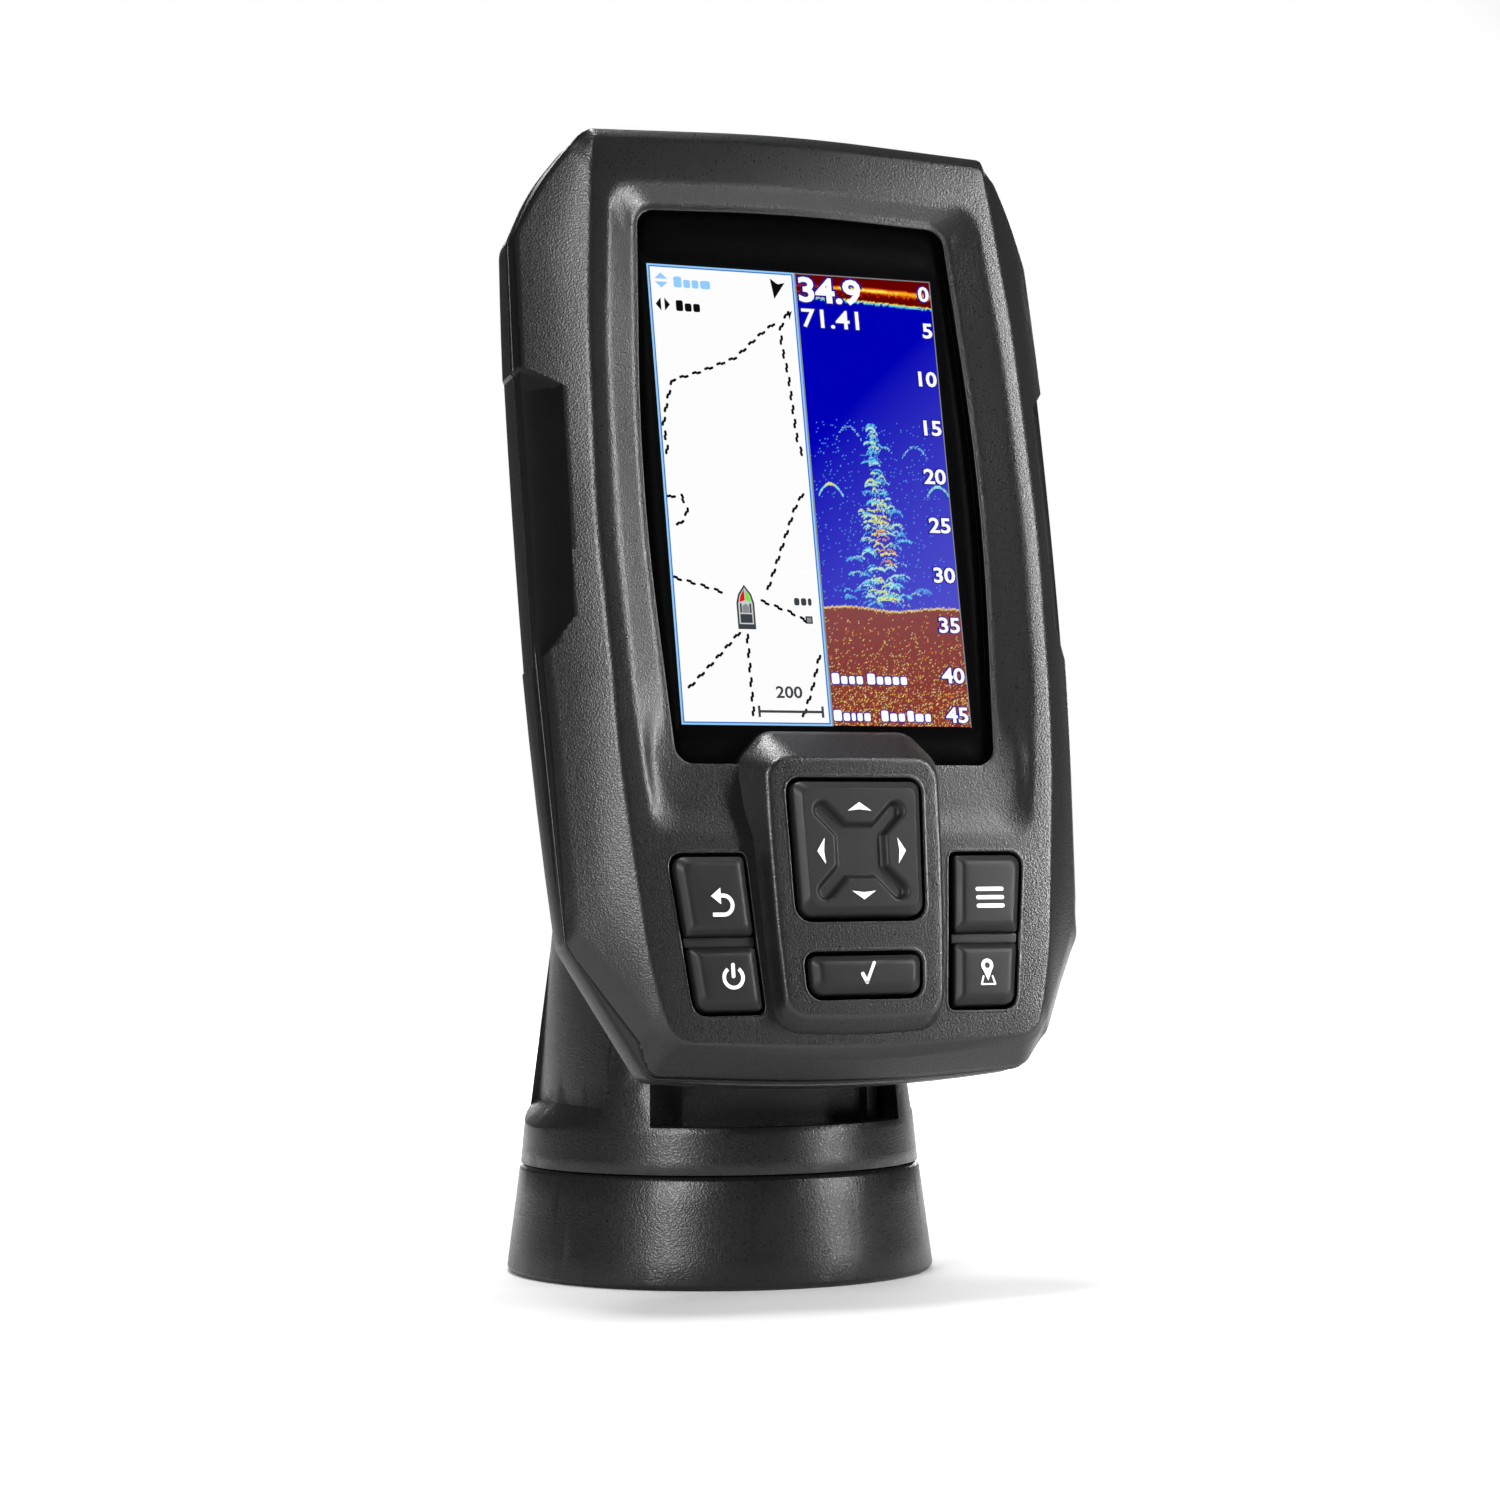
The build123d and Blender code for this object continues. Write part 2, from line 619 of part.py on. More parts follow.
def base_ring():
    """Round foot, hollow round its hub and four bolt pillars, with the hub's head pocket below."""
    body = revolve_profile((0, 0), (BASE_R - 0.6, 0), (BASE_R, 0.8), (BASE_TOP_R, BASE_H - 0.65),
                           (BASE_TOP_R - 0.7, BASE_H), (0, BASE_H))
    hollow = ring(0, 0, 0, 12.6, 30, 11)
    for x, y in on_circle(BOLT_CIRCLE_R):
        hollow = hollow - rod(x, y, -1, 14, 5.0)
    body = body - hollow - rod(0, 0, -0.05, PLATE_H + 0.05, PLATE_R + 0.1)
    for x, y in on_circle(BOLT_CIRCLE_R):
        body = body - rod(x, y, -1, 20, BOLT_HOLE_R) - rod(x, y, 13.6, 20, 4.4)
    body = body - slab(RegularPolygon(SWIVEL_HEX_R + 0.2, 6), -6, SWIVEL_SEAT)
    body = body - rod(0, 0, 0, 20, PIVOT_R + RUNNING)
    stop = arc_block(STOP_IN, STOP_OUT, SWIVEL_LIMIT + 6, 15.0, 18)
    return body - stop


def base_plate():
    plate = rod(0, 0, 0, PLATE_H, PLATE_R)
    for x, y in on_circle(BOLT_CIRCLE_R):
        plate = plate - rod(x, y, -1, 4, BOLT_HOLE_R)
    return plate


def cone_radius(z):
    return SHOULDER_R - CONE_SLOPE * (z - SHOULDER_Z)


def side_recess():
    """Cuts the tower's right flank down to a slightly bowed, leaning face."""
    def flank(z, x):
        half, sag = 17.0, 2.4
        face = make_face([
            ThreePointArc((x - sag, -half), (x, 0), (x - sag, half)),
            Line((x - sag, half), (60, half)),
            Line((60, half), (60, -half)),
            Line((60, -half), (x - sag, -half)),
        ])
        return Pos(0, 0, z) * face

    foot = flank(FLANK_Z, FLANK_X)
    shoulder = loft([flank(SHOULDER_Z, SHOULDER_R + 0.2), foot], ruled=True)
    upper = loft([foot, flank(TOWER_TOP, FLANK_X - (TOWER_TOP - FLANK_Z) * FLANK_SLOPE)], ruled=True)
    return shoulder + upper


def swivel_tower():
    """Round foot, two cheeks up to the tilt axis, a cross wall between them."""
    body = revolve_profile((0, TOWER_BOTTOM), (BASE_TOP_R - 0.2, TOWER_BOTTOM), (SHOULDER_R, SHOULDER_Z),
                           (cone_radius(TOWER_TOP), TOWER_TOP), (0, TOWER_TOP))
    front, back = PIVOT_Y - CHEEK_TOP_R, PIVOT_Y + CHEEK_TOP_R
    profile = Plane.YZ * make_face([
        Polyline((front, PIVOT_Z), (-10.5, 52), (-22, 33), (-36, 33), (-36, 10), (36, 10), (36, WALL_TOP),
                 (30, WALL_TOP), (back, PIVOT_Z)),
        ThreePointArc((back, PIVOT_Z), (PIVOT_Y, PIVOT_Z + CHEEK_TOP_R), (front, PIVOT_Z)),
    ])
    body = body & extrude(profile, 60, both=True)
    for recess in both_sides(side_recess()):
        body = body - recess
    between = Plane.XZ * make_face(Polyline(
        (-CHEEK_IN, TOWER_FLOOR), (CHEEK_IN, TOWER_FLOOR), (18.4, 90), (18.4, 120),
        (-18.4, 120), (-18.4, 90), close=True))
    between = extrude(between, 60, both=True)
    core = revolve_profile((0, TOWER_FLOOR), (29.6, TOWER_FLOOR), (26.4, WALL_TOP + 1), (0, WALL_TOP + 1))
    front_space = block(-30, 30, -40, -14, 25.2, 120) + (core & block(-30, 30, -40, -14, 20, 26))
    rear_space = core & block(-30, 30, -11, 40, 20, 60)
    above = block(-30, 30, -40, 40, WALL_TOP, 120)
    for space in (front_space, rear_space, above):
        body = body - (space & between)
    body = body + block(-22.4, -13, -16, -13.5, TOWER_FLOOR - 0.1, WALL_TOP)
    body = body + block(19.2, 21.0, -17, -13.5, TOWER_FLOOR - 0.1, WALL_TOP)
    for side in (-1, 1):
        boss_in, boss_out = sorted((side * BOSS_IN, side * 20.8))
        seat_in, seat_out = sorted((side * (TILT_SEAT - 0.05), side * 40))
        body = body + rod_x(boss_in, boss_out, PIVOT_Y, PIVOT_Z, 8.5)
        body = body - rod_x(seat_in, seat_out, PIVOT_Y, PIVOT_Z, TILT_HEX_R + 0.4)
    body = body - rod_x(-40, 40, PIVOT_Y, PIVOT_Z, PIVOT_R + 0.02)
    body = body - rod(0, 0, 10, 30, BUSHING_R)
    tab = arc_block(STOP_IN + 0.3, STOP_OUT - 0.3, 5, 15.4, TOWER_BOTTOM + 0.5)
    return body + tab


def hexagon(x0, x1, y, z, corner_radius):
    bar = extrude(Plane.YZ.offset(x0) * RegularPolygon(corner_radius, 6), x1 - x0)
    return Pos(0, y, z) * bar


def tilt_bolt():
    head = hexagon(-TILT_SEAT - 3.55, -TILT_SEAT, PIVOT_Y, PIVOT_Z, TILT_HEX_R)
    return head + rod_x(-TILT_SEAT - 0.05, TILT_SEAT + 3.15, PIVOT_Y, PIVOT_Z, PIVOT_R)


def tilt_nut():
    nut = hexagon(TILT_SEAT, TILT_SEAT + 2.75, PIVOT_Y, PIVOT_Z, TILT_HEX_R)
    return nut - rod_x(15, 30, PIVOT_Y, PIVOT_Z, PIVOT_R)


def tilt_washers():
    made = []
    for side in (-1, 1):
        x0, x1 = sorted((side * (LUG_OUT + 0.05), side * BOSS_IN))
        disc = rod_x(x0, x1, PIVOT_Y, PIVOT_Z, 7.5)
        made.append(disc - rod_x(x0 - 1, x1 + 1, PIVOT_Y, PIVOT_Z, PIVOT_R))
    return Compound(made)


def swivel_bolt():
    head = slab(RegularPolygon(SWIVEL_HEX_R, 6), SWIVEL_SEAT - 5.0, SWIVEL_SEAT)
    return head + rod(0, 0, SWIVEL_SEAT - 0.1, 28.0, PIVOT_R)


def swivel_nut():
    nut = slab(RegularPolygon(SWIVEL_HEX_R, 6), WASHER_TOP, WASHER_TOP + 4.0)
    return nut - rod(0, 0, 20, 30, PIVOT_R)


def swivel_bushing():
    sleeve = ring(0, 0, TOWER_BOTTOM, BUSHING_TOP, BUSHING_R, PIVOT_R + RUNNING)
    return sleeve + ring(0, 0, TOWER_FLOOR, BUSHING_TOP, 7.5, BUSHING_R - 0.1)


# ---- the nodes --------------------------------------------------------------------------------------------
MOUNT_NODES = {
    "base_ring": base_ring,
    "base_plate": base_plate,
    "swivel_bolt": swivel_bolt,
    "swivel_nut": swivel_nut,
    "swivel_wave_washer": lambda: ring(0, 0, BUSHING_TOP + 0.05, WASHER_TOP, 6.5, PIVOT_R),
    "swivel_glide_ring": lambda: ring(0, 0, BASE_H, TOWER_BOTTOM - 0.04, 21, 16),
    "swivel_bushing": swivel_bushing,
    "swivel_tower": swivel_tower,
    "tilt_bolt": tilt_bolt,
    "tilt_nut": tilt_nut,
    "tilt_washers": tilt_washers,
}

HEAD_NODES = {
    "front_shell": front_shell,
    "rear_shell": rear_shell,
    "shell_gasket": gasket,
    "display_window": display_window,
    "window_seal": window_seal,
    "lcd_panel": lcd_panel,
    "backlight_unit": lambda: block(-27.0, 27.0, -41.4, 40.8, -4.7, -2.05),
    "lcd_bracket": lcd_bracket,
    "display_flex": display_flex,
    "main_board": main_board,
    "gps_antenna": lambda: block(-9, 9, 26, 44, -12.0, BOARD_BACK),
    "shield_can": lambda: block(8, 30, -6, 18, -10.6, BOARD_BACK),
    "sonar_transformer": lambda: block(-27, -13, -14, 0, -19, BOARD_BACK),
    "buzzer": lambda: rod(20, -30, -13.5, BOARD_BACK, 6),
    "capacitors": lambda: Compound([rod(x, -34, -18, BOARD_BACK, 4) for x in (-28, -18)]),
    "key_switches": lambda: Compound([rod(x, v, BOARD_FRONT, SWITCH_TOP, 3) for x, v in NUBS]),
    "keypad_guide": keypad_guide,
    "connector_body": connector_body,
    "connector_pins": lambda: Compound([rod(x, v, -31, -20.5, CONTACT_R) for x, v in contact_places()]),
    "connector_o_ring": lambda: ring(0, CONNECTOR_V, -24.8, -24.3, 9.2, 7.8),
    "vent_plug": lambda: rod(*VENT, -27.4, -24.0, VENT_R - 0.05) + rod(*VENT, -24.8, -23.9, 3.4),
    "board_screws": lambda: screws(BOARD_SCREWS, -9.0, BOARD_BACK, -2.0, BOARD_SCREW_R),
    "shell_screws": lambda: screws(SHELL_SCREWS, SCREW_SEAT - 2.0, SCREW_SEAT, -3.0, SCREW_R),
    "cradle": cradle,
    "tilt_bushings": tilt_bushings,
    "latch_pin": lambda: rod_x(-10.8, 10.8, LATCH_V, LATCH_D, LATCH_PIN_R),
    "latch_spring": latch_spring,
    "release_latch": release_latch,
    "menu_key": lambda: side_key(True),
    "mark_key": lambda: side_key(False),
    "back_key": lambda: mirror(side_key(True), about=Plane.YZ),
    "power_key": lambda: mirror(side_key(False), about=Plane.YZ),
    "enter_key": enter_key,
    "direction_pad": direction_pad,
    "gimbal_cross": gimbal_cross,
}

for name, make in MOUNT_NODES.items():
    export_step(make(), f"parts/{name}.step")
for name, make in HEAD_NODES.items():
    export_step(HEAD * make(), f"parts/{name}.step")
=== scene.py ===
import math

import bmesh
import bpy
import numpy as np
from mathutils import Matrix, Vector


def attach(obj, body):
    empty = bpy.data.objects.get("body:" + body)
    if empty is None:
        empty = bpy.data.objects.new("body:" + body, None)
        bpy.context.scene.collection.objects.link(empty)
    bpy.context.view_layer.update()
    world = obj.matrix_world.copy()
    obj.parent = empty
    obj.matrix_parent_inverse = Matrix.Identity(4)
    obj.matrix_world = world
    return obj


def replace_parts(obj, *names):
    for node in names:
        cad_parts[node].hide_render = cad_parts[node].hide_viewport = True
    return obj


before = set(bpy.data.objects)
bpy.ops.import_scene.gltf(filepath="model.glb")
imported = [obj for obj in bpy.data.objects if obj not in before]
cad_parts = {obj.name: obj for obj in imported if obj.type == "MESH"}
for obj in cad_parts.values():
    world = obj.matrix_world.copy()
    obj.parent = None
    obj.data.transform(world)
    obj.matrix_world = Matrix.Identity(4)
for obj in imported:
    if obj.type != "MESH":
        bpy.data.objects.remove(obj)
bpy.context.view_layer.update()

# Fish finder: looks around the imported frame. Metres. The head is built in its own coordinates
# (x across, v up the screen, d out of the screen, in millimetres) and placed by head().
MM = 0.001
LEAN = math.radians(10.5)
SCREEN = Vector((0.0, -38.5, 124.25))
UP = Vector((0.0, math.sin(LEAN), math.cos(LEAN)))
OUT = Vector((0.0, -math.cos(LEAN), math.sin(LEAN)))
SIDE = Vector((1.0, 0.0, 0.0))


def head(x, v, d):
    """A point of the head, given across, up and out of the screen, in the row frame."""
    return (SCREEN + SIDE * x + UP * v + OUT * d) * MM


def local(point):
    """The head's own coordinates of a point of the row frame."""
    away = Vector(point) / MM - SCREEN
    return away.dot(SIDE), away.dot(UP), away.dot(OUT)


def linked(name, data):
    """A new object in the scene."""
    made = bpy.data.objects.new(name, data)
    bpy.context.scene.collection.objects.link(made)
    return made


# ---- camera
CAMERA_PLACE = (-0.22535, -0.53789, 0.06524)
AZIMUTH, PITCH, ROLL = math.radians(-23.28), math.radians(2.01), math.radians(-0.41)
LOOKING = (0.386, 0.922, 0.0)


def make_camera():
    data = bpy.data.cameras.new("camera")
    data.sensor_width = 36.0
    data.lens = 84.0
    data.clip_start, data.clip_end = 0.01, 20.0
    camera = linked("camera", data)
    level = math.cos(PITCH)
    forward = Vector((-math.sin(AZIMUTH) * level, math.cos(AZIMUTH) * level, math.sin(PITCH)))
    right = Vector((math.cos(AZIMUTH), math.sin(AZIMUTH), 0))
    up = right.cross(forward)
    right, up = (
        right * math.cos(ROLL) + up * math.sin(ROLL),
        up * math.cos(ROLL) - right * math.sin(ROLL),
    )
    turn = Matrix((right, up, -forward)).transposed().to_4x4()
    camera.matrix_world = Matrix.Translation(Vector(CAMERA_PLACE)) @ turn
    bpy.context.scene.camera = camera


make_camera()


# ---- materials
class Tree:
    """A short way to write a node tree."""

    def __init__(self, tree):
        self.tree = tree

    def add(self, kind, **values):
        node = self.tree.nodes.new(kind)
        for key, value in values.items():
            setattr(node, key, value)
        return node

    def link(self, source, target):
        self.tree.links.new(source, target)

    def between(self, source, span, values):
        """Maps a span of a value onto another one."""
        node = self.add("ShaderNodeMapRange")
        for socket, value in zip(("From Min", "From Max", "To Min", "To Max"), (*span, *values)):
            node.inputs[socket].default_value = value
        self.link(source, node.inputs["Value"])
        return node.outputs["Result"]

    def vector(self, operation, source, other=(0, 0, 0)):
        node = self.add("ShaderNodeVectorMath", operation=operation)
        node.inputs[1].default_value = other
        self.link(source, node.inputs[0])
        return node.outputs["Vector" if operation == "SUBTRACT" else "Value"]

    def combine(self, operation, *sources):
        node = self.add("ShaderNodeMath", operation=operation)
        for source, socket in zip(sources, node.inputs):
            self.link(source, socket)
        return node.outputs["Value"]


class Nodes(Tree):
    """The node tree of a new material."""

    def __init__(self, name):
        self.material = bpy.data.materials.new(name)
        self.material.use_nodes = True
        super().__init__(self.material.node_tree)
        self.shader = self.tree.nodes["Principled BSDF"]
        self.where = self.add("ShaderNodeTexCoord").outputs["Object"]

    def noise(self, scale, detail=3.0, roughness=0.55):
        node = self.add("ShaderNodeTexNoise")
        node.inputs["Scale"].default_value = scale
        node.inputs["Detail"].default_value = detail
        node.inputs["Roughness"].default_value = roughness
        self.link(self.where, node.inputs["Vector"])
        return node.outputs["Fac"]

    def ramp(self, source, stops):
        node = self.add("ShaderNodeValToRGB")
        ramp = node.color_ramp
        while len(ramp.elements) < len(stops):
            ramp.elements.new(0.5)
        for element, (place, colour) in zip(ramp.elements, stops):
            element.position = place
            element.color = (*colour, 1)
        self.link(source, node.inputs["Fac"])
        return node.outputs["Color"]

    def span(self, source, low, high):
        return self.between(source, (0, 1), (low, high))

    def bump(self, height, strength, distance, below=None):
        node = self.add("ShaderNodeBump")
        node.inputs["Strength"].default_value = strength
        node.inputs["Distance"].default_value = distance
        self.link(height, node.inputs["Height"])
        if below is not None:
            self.link(below, node.inputs["Normal"])
        return node.outputs["Normal"]

    def tint(self, colour, scale, detail, stops):
        """Base colour, mottled between two shades."""
        mottling = self.noise(scale, detail)
        tones = [(place, shade(colour, amount)) for place, amount in stops]
        self.link(self.ramp(mottling, tones), self.shader.inputs["Base Color"])

    def gloss(self, scale, detail, low, high):
        self.link(self.span(self.noise(scale, detail), low, high), self.shader.inputs["Roughness"])

    def set(self, **values):
        for key, value in values.items():
            self.shader.inputs[key.replace("_", " ")].default_value = value


def shade(colour, amount):
    return tuple(c * amount for c in colour)


def moulded(name, colour, roughness=0.33, grain=0.42, cell=3400.0, specular=0.42):
    """Injection-moulded plastic with a fine pebble grain."""
    spread = 0.16
    n = Nodes(name)
    n.tint(colour, 90.0, 3.0, [(0.3, 0.92), (0.7, 1.08)])
    pebble = n.add("ShaderNodeTexVoronoi", feature="SMOOTH_F1")
    pebble.inputs["Scale"].default_value = cell
    pebble.inputs["Smoothness"].default_value = 0.6
    n.link(n.where, pebble.inputs["Vector"])
    fine = n.bump(n.noise(cell * 1.7, 2.0), grain * 0.35, 0.00005)
    n.link(n.bump(pebble.outputs["Distance"], grain, 0.00008, fine), n.shader.inputs["Normal"])
    n.gloss(cell * 0.8, 2.0, roughness - spread, roughness + spread)
    n.set(Specular_IOR_Level=specular)
    return n.material


def satin(name, colour, roughness=0.4, grain=0.1, cell=5200.0, specular=0.45):
    """Smooth moulding with faint tool marks."""
    n = Nodes(name)
    n.tint(colour, 120.0, 4.0, [(0.3, 0.9), (0.7, 1.12)])
    n.link(n.bump(n.noise(cell, 3.0), grain, 0.00005), n.shader.inputs["Normal"])
    n.gloss(300.0, 5.0, roughness - 0.05, roughness + 0.08)
    n.set(Specular_IOR_Level=specular)
    return n.material


def metal(name, colour, roughness=0.3):
    """Turned or drawn metal with fine brushing."""
    n = Nodes(name)
    n.tint(colour, 700.0, 5.0, [(0.35, 0.85), (0.65, 1.05)])
    n.link(n.bump(n.noise(4200.0, 2.0), 0.15, 0.00003), n.shader.inputs["Normal"])
    n.gloss(900.0, 4.0, roughness - 0.08, roughness + 0.1)
    n.set(Metallic=1.0)
    return n.material


def shines(name, colour=None):
    """Something the lit display shows: one colour, or the sonar picture, stored on its mesh's points."""
    n = Nodes(name)
    # The sonar picture's colours include a painted sheen that lightens its lower right.
    if colour is None:
        glow_and_sheen = n.add("ShaderNodeAttribute", attribute_name="picture").outputs["Color"]
    else:
        glow_and_sheen = n.ramp(n.noise(60.0, 1.0), [(0.0, shade(colour, 0.985)), (1.0, colour)])
    n.link(glow_and_sheen, n.shader.inputs["Emission Color"])
    n.set(Base_Color=(0, 0, 0, 1), Emission_Strength=1.0, Roughness=0.35, Specular_IOR_Level=0.0)
    return n.material


def window_glass(name):
    """Clear flat glass: mostly see-through, with a gloss that grows at grazing angles."""
    n = Nodes(name)
    clear = n.add("ShaderNodeBsdfTransparent")
    gloss = n.add("ShaderNodeBsdfGlossy")
    gloss.inputs["Roughness"].default_value = 0.03
    fresnel = n.add("ShaderNodeFresnel")
    fresnel.inputs["IOR"].default_value = 1.22
    mix = n.add("ShaderNodeMixShader")
    n.link(fresnel.outputs["Fac"], mix.inputs[0])
    n.link(clear.outputs[0], mix.inputs[1])
    n.link(gloss.outputs[0], mix.inputs[2])
    output = next(x for x in n.tree.nodes if x.type == "OUTPUT_MATERIAL")
    n.link(mix.outputs[0], output.inputs["Surface"])
    return n.material


CHARCOAL = (0.0048, 0.0049, 0.0050)
M = {
    "housing": moulded("textured_charcoal", CHARCOAL),
    "side": satin("smooth_charcoal", (0.0035, 0.0035, 0.0036), 0.36, specular=0.07),
    "rear": moulded("rear_charcoal", (0.007, 0.0071, 0.0073), 0.38, 0.34),
    "mount": moulded("mount_charcoal", CHARCOAL, 0.32, 0.42, 3200.0, 0.36),
    "key": satin("key_rubber", (0.0055, 0.0055, 0.0057), 0.42, 0.12, 4200.0, 0.24),
    "ink": satin("white_ink", (0.72, 0.72, 0.71), 0.5, 0.05),
    "border": satin("black_border", (0.0016, 0.0016, 0.0017), 0.5, 0.0, specular=0.01),
    "glass": window_glass("clear_glass"),
    "seal": satin("seal_rubber", (0.010, 0.010, 0.010), 0.7, 0.3),
    "board": satin("solder_mask", (0.01, 0.10, 0.045), 0.35, 0.2, 3000.0),
    "steel": metal("stainless", (0.56, 0.57, 0.58), 0.32),
    "tin": metal("tinned_can", (0.70, 0.71, 0.73), 0.28),
    "brass": metal("plated_brass", (0.80, 0.60, 0.26), 0.25),
    "acetal": satin("natural_acetal", (0.72, 0.72, 0.70), 0.45, 0.1),
    "component": satin("potted_black", (0.02, 0.02, 0.022), 0.5, 0.2),
    "film": satin("amber_film", (0.45, 0.18, 0.03), 0.35, 0.1),
    "sonar": shines("sonar_picture"),
}
LIT = {
    "white": (1.0, 1.0, 1.0),
    "blue": (0.03, 0.17, 0.60),
    "pale_blue": (0.30, 0.62, 0.98),
    "black": (0.004, 0.004, 0.005),
    "grey": (0.25, 0.27, 0.29),
    "light_grey": (0.62, 0.63, 0.64),
    "dark_grey": (0.045, 0.055, 0.065),
    "red": (0.75, 0.01, 0.01),
    "green": (0.20, 0.80, 0.06),
    "navy": (0.01, 0.01, 0.30),
}
M.update({name: shines("display_" + name, colour) for name, colour in LIT.items()})


# ---- mesh helpers
def raw_mesh(name, points, faces):
    mesh = bpy.data.meshes.new(name)
    mesh.from_pydata([tuple(p) for p in points], [], faces)
    mesh.update()
    return mesh


def placed(name, mesh, material, body):
    """A mesh as a piece of the object, of one material, on one body."""
    piece = linked(name, mesh)
    mesh.materials.clear()
    mesh.materials.append(M[material])
    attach(piece, body)
    return piece


def mesh_object(name, points, faces, material, body="head", smooth=True):
    mesh = raw_mesh(name, points, faces)
    if smooth:
        mesh.shade_smooth()
    return placed(name, mesh, material, body)


def finished_mesh(thing):
    """The mesh of an object after its modifiers, or of a curve."""
    bpy.context.view_layer.update()
    graph = bpy.context.evaluated_depsgraph_get()
    return bpy.data.meshes.new_from_object(thing.evaluated_get(graph))


def clean(mesh, weld=0.0, fill=False):
    """Turns a mesh's faces outwards, after joining doubled points and closing holes where asked."""
    made = bmesh.new()
    made.from_mesh(mesh)
    if weld:
        bmesh.ops.remove_doubles(made, verts=made.verts, dist=weld)
    if fill:
        bmesh.ops.holes_fill(made, edges=[edge for edge in made.edges if edge.is_boundary], sides=0)
    bmesh.ops.recalc_face_normals(made, faces=made.faces)
    made.to_mesh(mesh)
    made.free()


def rounded(corners, steps=7):
    """A closed outline through (x, y, radius) corners, each one rounded by its radius."""
    points = []
    count = len(corners)
    for i in range(count):
        before, here, after = (np.array(corners[(i + k) % count][:2], float) for k in (-1, 0, 1))
        radius = corners[i][2]
        to_before, to_after = before - here, after - here
        long_before, long_after = np.linalg.norm(to_before), np.linalg.norm(to_after)
        to_before, to_after = to_before / long_before, to_after / long_after
        turn = math.pi - math.acos(max(-1.0, min(1.0, float(to_before @ to_after))))
        reach = min(radius * math.tan(turn / 2), 0.48 * long_before, 0.48 * long_after)
        if reach < 1e-4:
            points.append(here)
            continue
        start, end = here + to_before * reach, here + to_after * reach
        weight = math.cos(turn / 2)
        for k in range(steps + 1):
            t = k / steps
            a, b, c = (1 - t) ** 2, 2 * t * (1 - t) * weight, t ** 2
            points.append((a * start + b * here + c * end) / (a + b + c))
    return np.array(points)


def symmetric(right):
    """A closed outline from the corners of its right half, listed from top to bottom."""
    left = [(-x, y, r) for x, y, r in reversed(right) if x > 1e-6]
    return rounded(list(right) + left)


def grown(outline, amount):
    """The outline moved outwards by amount."""
    points = np.asarray(outline, float)
    tangent = np.roll(points, -1, axis=0) - np.roll(points, 1, axis=0)
    area = np.sum(points[:, 0] * np.roll(points[:, 1], -1) - np.roll(points[:, 0], -1) * points[:, 1])
    normal = np.stack([tangent[:, 1], -tangent[:, 0]], axis=1) * (1 if area > 0 else -1)
    length = np.maximum(np.linalg.norm(normal, axis=1, keepdims=True), 1e-9)
    return points + normal / length * amount


def polar(outline, centre, angles):
    """Where rays from centre at the given angles meet the outline."""
    points = np.asarray(outline, float)
    dense = []
    for a, b in zip(points, np.roll(points, -1, axis=0)):
        pieces = max(1, int(np.linalg.norm(b - a) / 0.25))
        for k in range(pieces):
            dense.append(a + (b - a) * k / pieces)
    offset = np.array(dense) - np.array(centre)
    theta = np.arctan2(offset[:, 1], offset[:, 0])
    radius = np.hypot(offset[:, 0], offset[:, 1])
    order = np.argsort(theta)
    theta, radius = theta[order], radius[order]
    theta = np.concatenate([theta - 2 * math.pi, theta, theta + 2 * math.pi])
    radius = np.tile(radius, 3)
    wrapped = (angles + math.pi) % (2 * math.pi) - math.pi
    r = np.interp(wrapped, theta, radius)
    return np.stack([centre[0] + r * np.cos(angles), centre[1] + r * np.sin(angles)], axis=1)


def unit(step):
    length = np.linalg.norm(step)
    return step / length if length > 1e-9 else step


def soften(column, radii, steps):
    """One profile, a list of 3-D points, with its corners rounded."""
    made = [column[0]]
    for before, here, after, radius in zip(column, column[1:], column[2:], radii[1:]):
        back, ahead = before - here, after - here
        reach = min(radius, 0.47 * np.linalg.norm(back), 0.47 * np.linalg.norm(ahead))
        start, end = here + unit(back) * reach, here + unit(ahead) * reach
        for k in range(steps + 1):
            t = k / steps
            made.append((1 - t) ** 2 * start + 2 * t * (1 - t) * here + t ** 2 * end)
    made.append(column[-1])
    return made


def loft(name, rings, radii, material, close=False, body="head", steps=4):
    """Skins rings of (x, v, d) points and rounds each ring's edge by its radius, one or one per column."""
    rings = [np.asarray(r, float) for r in rings]
    count = len(rings[0])
    columns = []
    for k in range(count):
        radii_here = [r if np.isscalar(r) else r[k] for r in radii]
        columns.append(soften([ring[k] for ring in rings], radii_here, steps))
    depth = len(columns[0])
    points = [head(*p) for column in columns for p in column]
    faces = []
    for k in range(count):
        a, b = k * depth, ((k + 1) % count) * depth
        faces += [(a + i, b + i, b + i + 1, a + i + 1) for i in range(depth - 1)]
    if close:
        faces.append(tuple(k * depth + depth - 1 for k in range(count)))
    piece = mesh_object(name, points, faces, material, body)
    clean(piece.data, weld=1e-7)
    return piece


def ring(flat, depth):
    """A flat outline given its depth: a number, or a function of x and v."""
    depths = [depth(x, v) if callable(depth) else depth for x, v in flat]
    return np.column_stack([flat, depths])


def cut(piece, cutters):
    """Takes the cutters' volume out of a piece."""
    for cutter in cutters:
        modifier = piece.modifiers.new("cut", "BOOLEAN")
        modifier.object = cutter
        modifier.operation = "DIFFERENCE"
        modifier.solver = "EXACT"
        made = finished_mesh(piece)
        piece.modifiers.clear()
        old = piece.data
        piece.data = made
        bpy.data.meshes.remove(old)
        bpy.data.objects.remove(cutter)
    piece.data.set_sharp_from_angle(angle=math.radians(38))
    return piece


